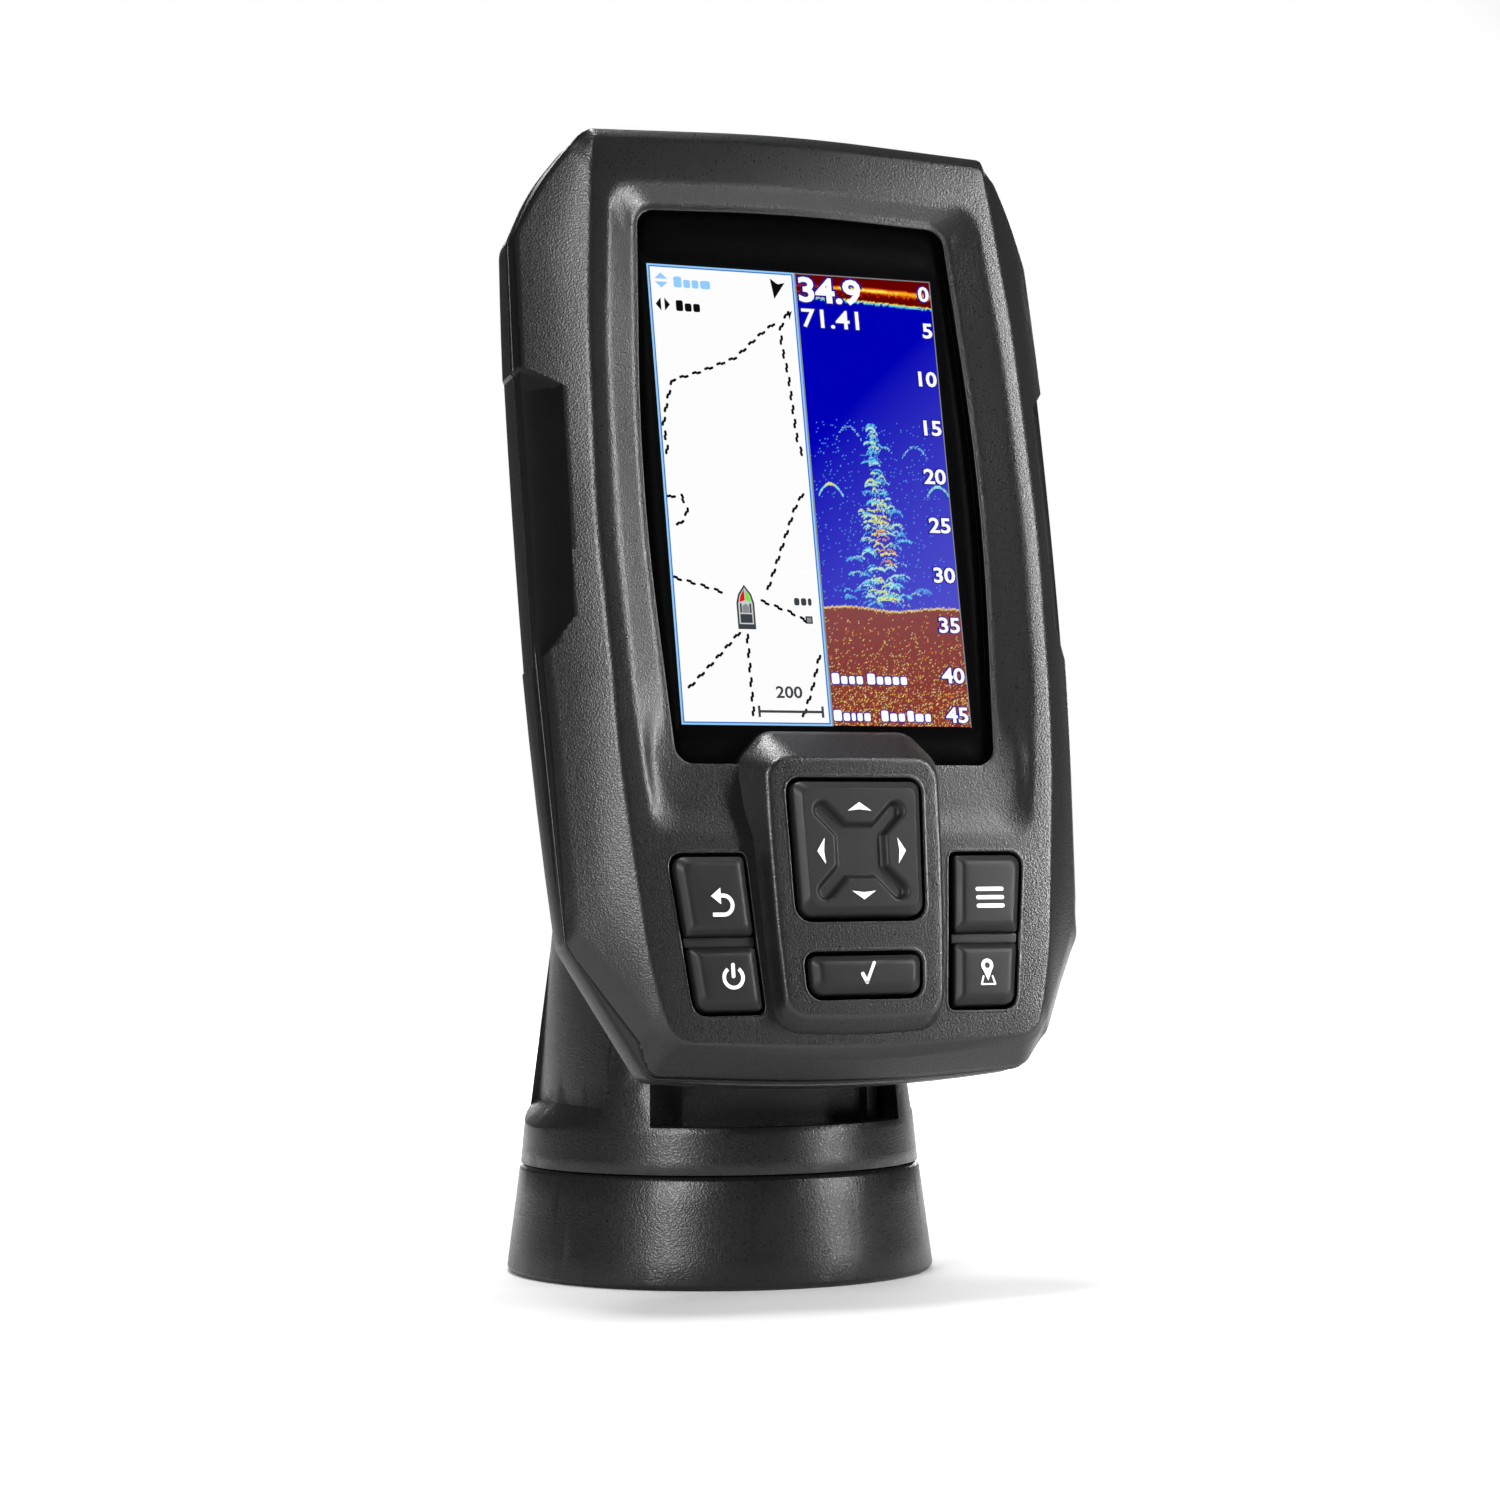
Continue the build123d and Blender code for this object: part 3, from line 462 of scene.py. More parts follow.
def prism(outline, low, high):
    """A plain cutter from an outline between two depths."""
    count = len(outline)
    points = [head(x, v, d) for d in (low, high) for x, v in outline]
    faces = [(k, (k + 1) % count, count + (k + 1) % count, count + k) for k in range(count)]
    faces += [tuple(range(count))[::-1], tuple(range(count, 2 * count))]
    return solid_cutter(points, faces)


def solid_cutter(points, faces):
    """A closed body for cut(), which isn't rendered."""
    mesh = raw_mesh("cutter", points, faces)
    clean(mesh)
    cutter = linked("cutter", mesh)
    cutter.hide_render = True
    return cutter


# ---- the head's outlines, as in the CAD
CENTRE = (0.0, -6.0)
COLUMNS = 960
ANGLES = np.arange(COLUMNS) * 2 * math.pi / COLUMNS

FRAME_FACE = 4.5
SLOPE_START = -30.0
KEY_SLOPE = 0.0534


def frame_depth(x, v):
    return FRAME_FACE - KEY_SLOPE * max(0.0, SLOPE_START - v)


def ridge_x(v):
    return 37.65 - 0.00092 * (v + 5) ** 2


def side_x(v):
    return 45.75 - 0.00068 * (v - 2) ** 2


def bevel_depth(x, v):
    """Depth of the surface at the head's side: flat frame, then the bevel beyond the ridge."""
    face = frame_depth(x, v)
    edge = -4.0 - max(0.0, -40 - v) * 0.03
    slope = (face - edge) / (side_x(v) - ridge_x(v))
    return face - max(0.0, abs(x) - ridge_x(v)) * slope


LENS = symmetric([(0, 45.9, 300), (26.3, 44.8, 2.8), (29.15, 0, 420), (26.7, -43.4, 2.8)])
RECESS = symmetric([(0, 49.8, 260), (31.6, 48.4, 4.5), (33.9, 22, 160), (34.6, -8, 200),
                    (33.8, -34, 160), (31.6, -54.8, 4.0)])
RIDGE = symmetric([(0, 56.9, 300), (33.9, 55.5, 1.2), (36.6, 28, 160), (37.75, -6, 200),
                   (36.6, -42, 160), (33.6, -73, 60), (30.6, -86.0, 4.5), (0, -87.4, 300)])
EDGE = symmetric([(0, 58.9, 300), (34.0, 57.3, 1.6), (40.3, 50.3, 60), (44.4, 42.0, 4.0),
                  (45.65, 2, 500), (42.2, -68.0, 3.0), (30.9, -86.8, 4.0), (0, -89.5, 300)])
OUTER = symmetric([(0, 59.4, 300), (34.4, 57.7, 2.2), (40.6, 50.4, 60), (44.8, 41.8, 5.0),
                   (45.85, 2, 500), (43.3, -69.6, 4.0), (31.6, -90.0, 3.0), (0, -91.8, 300)])
POCKET_HEIGHTS, POCKET_EDGE = [-27.4, -20.5, 16.0, 20.9], [45.9, 41.3, 40.75, 45.9]
POCKET_DEPTH = 1.6
STEP_HEIGHTS, STEP_EDGE = [-27.4, -26.2, 20.0, 20.9], [45.9, 45.0, 45.0, 45.9]


def stepped(flat):
    """Pulls the side of an outline in beside the finger pockets."""
    limit = np.interp(flat[:, 1], STEP_HEIGHTS, STEP_EDGE, left=60.0, right=60.0)
    made = flat.copy()
    made[:, 0] = np.sign(flat[:, 0]) * np.minimum(np.abs(flat[:, 0]), limit)
    return made


def around(outline):
    return polar(outline, CENTRE, ANGLES)


# ---- front shell
LENS_SEAT, LENS_TOP, LIP_TOP = 0.4, 2.28, 2.35
INNER_FACE, INNER_STEP, SHELL_BACK, FLANGE_BACK = -1.2, -5.0, -7.0, -7.9
WALL = 2.2


def edge_depths(edge, outer, ridge):
    """How deep the edge ring and the wall ring lie, and how round the shell is at top and bottom."""
    top = np.clip((ridge[:, 1] - 50) / 4, 0, 1)
    bottom = np.clip((-80 - ridge[:, 1]) / 4, 0, 1)
    low_corner = np.clip((-62 - edge[:, 1]) / 14, 0, 1)
    edge_depth = np.array([bevel_depth(x, v) for x, v in edge]) - 0.9 * top - 1.0 * bottom - 0.5 * low_corner
    wall_depth = np.minimum(edge_depth - 1.2, np.array([bevel_depth(x, v) for x, v in outer]) - 0.6)
    wall_depth = np.maximum(wall_depth - 1.2 * top - 2.6 * bottom - 1.6 * low_corner, -6.4)
    edge_radius = 1.0 + 0.6 * top + 2.6 * bottom + 0.2 * low_corner
    return edge_depth, wall_depth, edge_radius, top, bottom


def pocket_cutter(side):
    """Takes the finger pocket out of a side bevel: a sunk floor and a leaning wall round it."""
    beyond, over = 50.0, 9.0
    points, faces = [], []
    heights = np.linspace(POCKET_HEIGHTS[0], POCKET_HEIGHTS[3], 120)
    for v in heights:
        x = float(np.interp(v, POCKET_HEIGHTS, POCKET_EDGE))
        foot, rim = x + 0.45, x - 0.35
        points += [head(side * foot, v, bevel_depth(foot, v) - POCKET_DEPTH),
                   head(side * rim, v, bevel_depth(x, v) + 0.9), head(side * rim, v, over),
                   head(side * beyond, v, over),
                   head(side * beyond, v, bevel_depth(beyond, v) - POCKET_DEPTH)]
    count = 5
    for k in range(len(heights) - 1):
        for i in range(count):
            a, b = k * count + i, k * count + (i + 1) % count
            faces.append((a, b, b + count, a + count))
    faces += [tuple(range(count)), tuple(range(len(points) - count, len(points)))]
    cutter = solid_cutter(points, faces)
    for face in cutter.data.polygons:
        face.material_index = 1
    return cutter


def front_shell():
    recess, ridge = around(RECESS), around(RIDGE)
    edge, outer = stepped(around(EDGE)), stepped(around(OUTER))
    flange = stepped(around(grown(OUTER, 0.15)))
    edge_depth, wall_depth, edge_radius, top, bottom = edge_depths(edge, outer, ridge)
    lens, lip_start = around(grown(LENS, 0.15)), around(grown(LENS, 1.15))
    bulge = 0.035 * np.linalg.norm(edge - ridge, axis=1)
    middle_depth = (ring(ridge, frame_depth)[:, 2] + edge_depth) / 2 + bulge
    below = np.clip((-38 - recess[:, 1]) / 6, 0, 1)
    share, rise = 0.5 + 0.12 * below, 0.5 - 0.26 * below
    bowl_depth = LIP_TOP + (ring(recess, frame_depth)[:, 2] - LIP_TOP) * rise
    profile = [
        (ring(lens, LENS_SEAT), 0),
        (ring(lens, LENS_TOP), 0.25),
        (ring(lip_start, LIP_TOP), 0.8),
        (np.column_stack([lip_start + (recess - lip_start) * share[:, None], bowl_depth]), 1.5),
        (ring(recess, frame_depth), 1.0),
        (ring(ridge, frame_depth), 0.9 + 1.4 * top + 3.2 * bottom),
        (np.column_stack([(ridge + edge) / 2, middle_depth]), 6.0),
        (np.column_stack([edge, edge_depth]), edge_radius),
        (np.column_stack([outer, wall_depth]), 1.0 + 2.0 * bottom),
        (ring(outer, SHELL_BACK), 0.15),
        (ring(flange, SHELL_BACK - 0.05), 0.12),
        (ring(flange, FLANGE_BACK), 0.12),
        (ring(outer - np.sign(outer) * WALL, FLANGE_BACK - 0.05), 0),
        (ring(outer - np.sign(outer) * (WALL + 0.2), INNER_STEP), 0),
        (ring(ridge - np.sign(ridge) * 2.0, INNER_FACE), 0),
        (ring(lens, INNER_FACE), 0),
        (ring(lens, LENS_SEAT), 0),
    ]
    rings, radii = zip(*profile)
    shell = loft("front_shell_visible", rings, radii, "housing", steps=5)
    shell.data.materials.append(M["side"])
    shell.data.materials.append(M["border"])
    for face in shell.data.polygons:
        if abs(face.normal.dot(OUT)) < 0.3:
            x, v, _ = local(face.center)
            face.material_index = 2 if abs(x) < 30 and -44.5 < v < 47 else 1
    holes = [side_hole(-1), side_hole(1), ROCKER_HOLE, ENTER_HOLE]
    cutters = [prism(grown(hole, 0.3), -5, 12) for hole in holes]
    cut(shell, cutters + [pocket_cutter(side) for side in (-1, 1)])
    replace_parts(shell, "front_shell")


# ---- keys: holes, lips, caps
def island_depth(x, v):
    return 7.2 + 0.0676 * (v + 46)


def flip(points, side):
    return [(side * p[0], *p[1:]) for p in points]


def side_hole(side):
    """Opening for two keys beside the island."""
    corners = [(17.2, -57.5, 1.0), (29.9, -57.5, 2.0), (26.9, -82.0, 2.2), (15.3, -82.0, 1.0)]
    return rounded(flip(corners, side))


ROCKER_HOLE = symmetric([(0, -46.7, 300), (11.45, -46.7, 2.2), (10.8, -68.6, 2.6), (0, -68.6, 300)])
ENTER_HOLE = symmetric([(0, -73.2, 300), (9.95, -73.2, 1.8), (9.55, -80.4, 2.4), (0, -80.4, 300)])


def middle(outline):
    low, high = outline.min(axis=0), outline.max(axis=0)
    return (low + high) / 2


def spun(outline, grow=0.0, count=200, centre=None):
    """An outline, grown by some amount, sampled evenly round its middle."""
    angles = np.arange(count) * 2 * math.pi / count
    hub = middle(outline) if centre is None else centre
    return polar(grown(outline, grow) if grow else outline, hub, angles)


def over(surface, height):
    """The depth of a surface's points, raised by a height."""
    return lambda x, v: surface(x, v) + height


def lip(name, outline, surface):
    """Rounded edge and wall of a key opening."""
    rings = [
        ring(spun(outline, 0.62), over(surface, -0.03)),
        ring(spun(outline, 0.55), over(surface, 0.012)),
        ring(spun(outline), over(surface, 0.012)),
        ring(spun(outline), INNER_FACE),
        ring(spun(outline, 0.45), INNER_FACE),
    ]
    loft(name, rings, [0, 0, 0.5, 0, 0], "housing", steps=6)


def inset_ring(outline, inset, surface, offset, count=200):
    """The outline drawn in by inset towards its middle, at a height over a surface."""
    hub, half = middle(outline), (outline.max(axis=0) - outline.min(axis=0)) / 2
    inner = hub + (spun(outline, 0, count) - hub) * (1 - inset / half)
    return ring(inner, over(surface, offset))


KEY_CHAMFER, KEY_PROUD = 1.25, 1.55


def key_cap(node, outline, surface):
    """A rubber key: upright wall, broad soft chamfer, nearly flat top, and a hidden flange."""
    name = node + "_cap"
    rings = [
        ring(spun(outline), -1.4),
        inset_ring(outline, 0.0, surface, 0.45),
        inset_ring(outline, KEY_CHAMFER, surface, KEY_PROUD),
        inset_ring(outline, KEY_CHAMFER + 1.2, surface, KEY_PROUD + 0.03),
    ]
    cap = loft(name, rings, [0, 0.45, 0.8, 0], "key", close=True, body=node, steps=6)
    skirt = [ring(spun(outline, 0.9), depth) for depth in (-1.5, -2.4)]
    flange = loft(name + "_flange", skirt, [0, 0], "key", body=node)
    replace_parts(cap, node)
    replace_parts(flange, node)


def side_key(node, side, low, high):
    """One of the two keys in a side opening, between two heights."""
    def edge(v):
        t = (v + 82.0) / 24.5
        return 15.3 + 1.9 * t + 0.6, 26.9 + 3.0 * t - 0.6

    in0, out0 = edge(low)
    in1, out1 = edge(high)
    corner_low = 1.8 if low < -80 else 0.5
    corner_high = 1.6 if high > -60 else 0.5
    corners = [(in1, high, 0.7), (out1, high, corner_high), (out0, low, corner_low), (in0, low, 0.7)]
    key_cap(node, rounded(flip(corners, side)), frame_depth)


def bridge(name, side):
    """The low strip of keypad rubber between the two side keys."""
    corners = [(16.65, -70.25, 0.2), (28.0, -70.25, 0.2), (27.75, -71.75, 0.2), (16.55, -71.75, 0.2)]
    outline = rounded(flip(corners, side))
    rings = [
        ring(spun(outline), INNER_FACE),
        inset_ring(outline, 0.0, frame_depth, -0.1),
        ring(spun(outline, -0.5), over(frame_depth, -0.1)),
    ]
    loft(name, rings, [0, 0.15, 0], "key", close=True)


def groove(x, v):
    """Depth of the rocker's crossed valley at a point, from its middle."""
    square = max(abs(x), abs(v)) - 4.0
    along = min(max((abs(x) + abs(v)) / 2, 0.0), 6.1)
    arm = math.hypot(abs(x) - along, abs(v) - along) - 1.2
    distance = min(square, arm)
    t = min(max(0.5 - distance / 1.1, 0.0), 1.0)
    return 1.15 * t * t * (3 - 2 * t)


PAD_PROUD = 1.6
PAD_RINGS = 64


def direction_pad():
    outline = grown(ROCKER_HOLE, -0.65)
    hub = middle(outline)
    valley = hub + np.array([-0.1, -0.45])
    count = 400

    def top(x, v):
        return island_depth(x, v) + PAD_PROUD - groove(x - valley[0], v - valley[1])

    rings = [
        ring(spun(outline, 0, count), 3.6),
        inset_ring(outline, 0.0, island_depth, 0.5, count),
        inset_ring(outline, 1.3, island_depth, PAD_PROUD, count),
    ]
    border = rings[-1][:, :2]
    rings += [ring(hub + (border - hub) * (1 - k / PAD_RINGS), top) for k in range(1, PAD_RINGS)]
    radii = [0, 0.5, 0.9] + [0] * (PAD_RINGS - 1)
    pad = loft("direction_pad_cap", rings, radii, "key", close=True, body="direction_pad",
               steps=3)
    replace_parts(pad, "direction_pad")


ISLAND_FOOT = symmetric([(0, -38.5, 300), (12.2, -38.5, 4.0), (17.2, -43.6, 4.5), (15.8, -55, 60),
                         (14.9, -71, 80), (13.9, -84.9, 4.5), (0, -85.6, 300)])
ISLAND_TOP = symmetric([(0, -43.7, 300), (14.3, -43.8, 3.2), (14.3, -57, 60), (13.85, -70, 80),
                        (12.9, -82.8, 3.4), (0, -83.3, 300)])


def island():
    def foot_depth(x, v):
        return min(frame_depth(x, v) - 0.15, 2.1 + max(0.0, -43 - v) * 0.12)

    def spread(outline, grow):
        return spun(outline, grow, 480, (0, -61.0))

    rings = [
        ring(spread(ISLAND_FOOT, 0.3), INNER_FACE),
        ring(spread(ISLAND_FOOT, 0.3), over(foot_depth, -0.5)),
        ring(spread(ISLAND_FOOT, -0.3), over(foot_depth, 0.5)),
        ring(spread(ISLAND_TOP, 0.0), island_depth),
        ring(spread(ISLAND_TOP, -1.6), island_depth),
    ]
    pad = loft("island", rings, [0, 0.5, 0.9, 0.9, 0], "housing", close=True, steps=6)
    clean(pad.data, fill=True)
    cut(pad, [prism(grown(hole, 0.3), -5, 14) for hole in (ROCKER_HOLE, ENTER_HOLE)])


# ---- printed icons
def strip(points, width, rails=False):
    """A band of even width along a line: one polygon with round ends, or its two rails."""
    points = np.array(points, float)
    tangent = np.gradient(points, axis=0)
    tangent /= np.maximum(np.linalg.norm(tangent, axis=1, keepdims=True), 1e-9)
    normal = np.stack([-tangent[:, 1], tangent[:, 0]], axis=1) * width / 2
    left, right = points + normal, points - normal
    if rails:
        return left, right

    def end_cap(centre, direction):
        start = math.atan2(direction[1], direction[0])
        return [centre + width / 2 * np.array([math.cos(start - a), math.sin(start - a)])
                for a in np.linspace(0, math.pi, 7)[1:-1]]

    return [*left, *end_cap(points[-1], normal[-1]), *right[::-1], *end_cap(points[0], -normal[0])]


def arc(centre, radius, start, end, count=24):
    angles = np.radians(np.linspace(start, end, count))
    return [(centre[0] + radius * math.cos(a), centre[1] + radius * math.sin(a)) for a in angles]


def print_on(name, shapes, surface, material, body, lift=0.03, thick=0.05):
    """Flat printed shapes a hair above a surface. Each is a polygon, or a pair of rails for a band."""
    points, faces = [], []
    for shape in shapes:
        start = len(points)
        banded = isinstance(shape, tuple)
        if banded:
            left, right = shape
            sides = [(left, thick), (right, thick), (right, -thick), (left, -thick)]
        else:
            sides = [(shape, thick), (shape, -thick)]
        count = len(sides[0][0])
        for line, height in sides:
            points += [head(x, v, surface(x, v) + lift + height) for x, v in line]
        if banded:
            for k in range(count - 1):
                for rail in range(4):
                    a, b = start + rail * count + k, start + (rail + 1) % 4 * count + k
                    faces.append((a, a + 1, b + 1, b))
            for end in (0, count - 1):
                faces.append(tuple(start + rail * count + end for rail in range(4)))
        else:
            faces.append(tuple(range(start, start + count)))
            faces.append(tuple(range(start + count, start + 2 * count))[::-1])
            for k in range(count):
                a, b = start + k, start + (k + 1) % count
                faces.append((a, b, b + count, a + count))
    piece = mesh_object(name, points, faces, material, body, smooth=False)
    clean(piece.data)
    return piece


def resized(shapes, centre, size):
    """Printed shapes drawn larger or smaller about a point."""
    def move(line):
        return np.array(centre) + (np.array(line) - np.array(centre)) * size

    return [tuple(move(rail) for rail in shape) if isinstance(shape, tuple) else move(shape)
            for shape in shapes]


def back_symbol(x, v):
    hook = [(x - 2.0, v - 2.2), (x, v - 2.2)] + arc((x + 0.2, v - 0.45), 1.75, -90, 90, 20)
    hook += [(x - 0.8, v + 1.3)]
    arrow = [(x - 2.2, v + 1.25), (x - 0.3, v + 2.75), (x - 0.3, v - 0.25)]
    return resized([strip(hook, 0.70, True), arrow], (x, v), 0.82)


def power_symbol(x, v):
    dial = strip(arc((x, v - 0.3), 1.75, 125, 415, 40), 0.62, True)
    return resized([dial, strip([(x, v - 0.1), (x, v + 1.9)], 0.64)], (x, v), 0.87)


def menu_symbol(x, v):
    return [strip([(x - 2.1, v + k), (x + 2.1, v + k)], 0.62) for k in (-1.3, 0, 1.3)]


def mark_symbol(x, v):
    """A map pin standing in an open tray."""
    pin = strip(arc((x, v + 1.35), 0.85, 0, 360, 28), 0.62, True)
    point = [(x - 0.95, v + 0.75), (x, v - 1.35), (x + 0.95, v + 0.75), (x, v + 0.45)]
    left, right = [[(x + side * 0.9, v - 0.6), (x + side * 1.35, v - 2.0)] for side in (-1, 1)]
    tray = [strip(line, 0.3) for line in (left, right, [left[1], right[1]])]
    return resized([pin, point] + tray, (x, v), 0.87)


def tick_symbol(x, v):
    short, long = [(x - 1.1, v + 1.25), (x - 0.45, v)], [(x - 0.45, v), (x + 0.9, v + 2.9)]
    return [strip(short, 0.56), strip(long, 0.46)]


def arrow_symbols(x, v):
    """Four arrowheads round a middle, pointing away from it."""
    reach = 6.65
    half = [(-0.55, 1.95), (-0.45, 1.2), (-0.32, 0.0)]
    outline = [(0.75, 0.0)] + half + [(a, -b) for a, b in half[1::-1]]
    turns = [math.radians(90 * quarter) for quarter in range(4)]
    return [[(x + (a + reach) * math.cos(turn) - b * math.sin(turn),
              v + (a + reach) * math.sin(turn) + b * math.cos(turn)) for a, b in outline] for turn in turns]


def icons():
    on_key, on_island_key = over(frame_depth, KEY_PROUD + 0.03), over(island_depth, KEY_PROUD + 0.03)
    on_pad = over(island_depth, PAD_PROUD)
    hub_x, hub_v = middle(ROCKER_HOLE) + np.array([-0.1, -0.55])
    for name, shapes, surface, body in (
        ("icon_back", back_symbol(-22.05, -65.3), on_key, "back_key"),
        ("icon_power", power_symbol(-20.95, -76.3), on_key, "power_key"),
        ("icon_menu", menu_symbol(22.9, -64.9), on_key, "menu_key"),
        ("icon_mark", mark_symbol(21.6, -76.6), on_key, "mark_key"),
        ("icon_enter", tick_symbol(0, -78.1), on_island_key, "enter_key"),
        ("icon_arrows", arrow_symbols(hub_x, hub_v), on_pad, "direction_pad"),
    ):
        print_on(name, shapes, surface, "ink", body)


# ---- display
HALF_W, HALF_H = 24.65, 37.0
SPLIT = 0.55
# Heights of the drawn layers over the lit panel.
PAPER, LINE, MARK, HULL, DECK, DETAIL = 0.010, 0.022, 0.032, 0.042, 0.050, 0.058
PICTURE, HALO, LABEL, DIGITS = 0.012, 0.046, 0.055, 0.062


def level(depth):
    return lambda x, v: depth


def rectangle(x0, x1, v0, v1):
    return [(x0, v0), (x1, v0), (x1, v1), (x0, v1)]


def flat(name, shapes, depth, material):
    """Shapes drawn on the lit display, at a given layer."""
    return print_on(name, shapes, level(depth), material, "head", lift=0.0, thick=0.004)


def dashes(path, length=1.2, gap=1.1, width=0.44):
    """Short slanted strokes along a line, as on a plotted track."""
    path = np.array(path, float)
    steps = np.linalg.norm(np.diff(path, axis=0), axis=1)
    reach = np.concatenate([[0], np.cumsum(steps)])
    made, here = [], 0.1
    while here + length < reach[-1]:
        ends = np.array([(np.interp(s, reach, path[:, 0]), np.interp(s, reach, path[:, 1]))
                         for s in (here, here + length * 0.45, here + length * 0.55, here + length)])
        step = ends[3] - ends[0]
        aside = np.array([-step[1], step[0]]) * 0.09
        ends[:2] += aside
        ends[2:] -= aside
        made.append(strip(ends, width))
        here += length + gap
    return made


TRACKS = [
    [(-3.6, 28.3), (-6.2, 26.3), (-10.8, 22.2), (-17.0, 19.6), (-21.8, 18.0), (-22.9, 14.7),
     (-23.9, 10.6), (-23.5, 7.4), (-23.9, 3.8)],
    [(-1.0, 30.5), (-2.6, 27.5), (-2.6, 24.6), (-1.9, 19.9), (-1.6, 14.1), (-1.3, 9.2), (-0.5, 6.3)],
    [(-24.2, -1.0), (-21.8, -0.6), (-20.9, -3.0), (-21.7, -4.6), (-24.0, -6.3)],
    [(-24.2, -13.8), (-19.8, -14.9), (-14.1, -16.6)],
    [(-9.8, -17.2), (-5.0, -18.9), (-0.5, -21.3)],
    [(-8.5, -15.4), (-6.6, -11.0), (-4.6, -6.4), (-2.7, -2.0), (-0.7, 1.0)],
    [(-13.8, -22.3), (-18.3, -26.8), (-24.3, -32.5)],
    [(-12.6, -22.6), (-12.6, -28.3), (-12.6, -36.5)],
    [(-0.6, -25.7), (-2.4, -31.3), (-4.5, -36.1)],
]


BOAT_X = -12.5


def boat():
    """The boat on the map: hull, deck, red and green lights, cockpit and windscreen."""
    def mirror(half):
        right = [(BOAT_X + x, v) for x, v in reversed(half) if x > 0]
        return [(BOAT_X - x, v) for x, v in half] + right

    light = [(1.0, -17.5), (0.7, -16.4), (0.06, -15.4), (0.06, -17.2)]
    cockpit = [rectangle(BOAT_X + x0, BOAT_X + x1, v0, v1) for x0, x1, v0, v1 in (
        (-1.0, 1.0, -20.8, -19.4), (-0.95, -0.65, -19.2, -17.7), (0.65, 0.95, -19.2, -17.7))]
    flat("boat_outline", [mirror([(1.5, -21.8), (1.5, -17.6), (1.1, -16.2), (0, -14.7)])], HULL, "dark_grey")
    flat("boat_deck", [mirror([(1.2, -21.0), (1.2, -17.7), (0.85, -16.4), (0, -15.15)])], DECK, "light_grey")
    flat("boat_port", [[(BOAT_X - x, v) for x, v in light]], DETAIL, "red")
    flat("boat_starboard", [[(BOAT_X + x, v) for x, v in reversed(light)]], DETAIL, "green")
    flat("boat_cockpit", cockpit, DETAIL, "dark_grey")
    flat("boat_screen", [mirror([(0.55, -19.2), (0.55, -18.1), (0, -17.7)])], DETAIL, "grey")


def map_page():
    flat("map_ground", [rectangle(-HALF_W, SPLIT, -HALF_H, HALF_H)], PAPER, "white")
    for name, inset, width, layer, colour in (("map_frame", 0.0, 0.48, LINE, "pale_blue"),
                                              ("map_frame_line", 0.28, 0.20, MARK, "blue")):
        x0, x1, v0, v1 = -HALF_W + inset, SPLIT - inset, -HALF_H + inset, HALF_H - inset
        sides = [rectangle(x0, x0 + width, v0, v1), rectangle(x1 - width, x1, v0, v1),
                 rectangle(x0, x1, v0, v0 + width), rectangle(x0, x1, v1 - width, v1)]
        flat(name, sides, layer, colour)
    flat("map_tracks", [dash for track in TRACKS for dash in dashes(track)], LINE, "black")
    flat("waypoint", [rectangle(-2.5, -1.3, -20.7, -19.5)], MARK, "black")
    flat("waypoint_fill", [rectangle(-2.3, -1.5, -20.5, -19.7)], HULL, "grey")
    scale_ends = [rectangle(x, x + 0.4, -35.7, -33.9) for x in (-11.8, -1.1)]
    flat("scale_bar", [rectangle(-11.7, -0.9, -35.0, -34.6)] + scale_ends, MARK, "dark_grey")
    boat()
    flat("north_arrow", [[(-3.7, 35.8), (-2.45, 34.9), (-1.2, 35.2), (-3.2, 32.4)]], MARK, "black")
    up_down = [[(-23.5, 34.6), (-22.4, 35.6), (-21.3, 34.6)], [(-23.5, 34.1), (-22.4, 33.1), (-21.3, 34.1)]]
    flat("zoom_arrows", up_down, MARK, "pale_blue")
    flat("zoom_label", label_blocks(-20.3, 34.2, (1.35, 1.15, 1.15, 1.7), 1.35, 1.8), MARK, "pale_blue")
    to_sides = [[(-22.7, 31.5), (-23.6, 30.4), (-22.7, 29.3)], [(-22.1, 31.5), (-21.2, 30.4), (-22.1, 29.3)]]
    flat("pan_arrows", to_sides, MARK, "black")
    flat("pan_label", label_blocks(-20.2, 30.3, (1.2, 1.15, 1.15), 1.35, 1.8), MARK, "black")
    flat("track_arrow", [[(-1.9, 29.5), (-0.3, 30.6), (-0.9, 29.0), (-1.0, 29.9)]], MARK, "black")
    flat("waypoint_number", label_blocks(-4.2, -17.2, (0.9, 0.9, 0.6), 1.2, 1.2), MARK, "dark_grey")
    number("scale_number", "200", -8.6, -32.6, 1.9, "dark_grey", 0.036, 0.02)


def label_blocks(x, v, widths, height, first):
    """Plain rounded blocks that stand where a word is, first one taller."""
    blocks = []
    for k, width in enumerate(widths):
        tall = first if k == 0 else height
        low = v - first / 2
        corners = [(x, low, 0.3), (x + width, low, 0.3), (x + width, low + tall, 0.3), (x, low + tall, 0.3)]
        blocks.append([tuple(point) for point in rounded(corners, 3)])
        x += width + 0.28
    return blocks


WIDEN = 1.16
DIGIT_HEIGHT = 0.73
OUTLINE = 0.05


def number(name, text, x, v, height, colour, depth, bold, right=False):
    """A number on the display, drawn from its left or right end, with its foot at v."""
    curve = bpy.data.curves.new(name, "FONT")
    curve.body = text
    curve.size = 1.0
    curve.offset = bold
    curve.resolution_u = 3
    holder = linked("number", curve)
    mesh = finished_mesh(holder)
    bpy.data.objects.remove(holder)
    size = height / DIGIT_HEIGHT
    reach = max(vertex.co.x for vertex in mesh.vertices) * size * WIDEN
    start = x - reach if right else x
    for vertex in mesh.vertices:
        vertex.co = head(start + vertex.co.x * size * WIDEN, v + vertex.co.y * size, depth)
    placed(name, mesh, colour, "head")


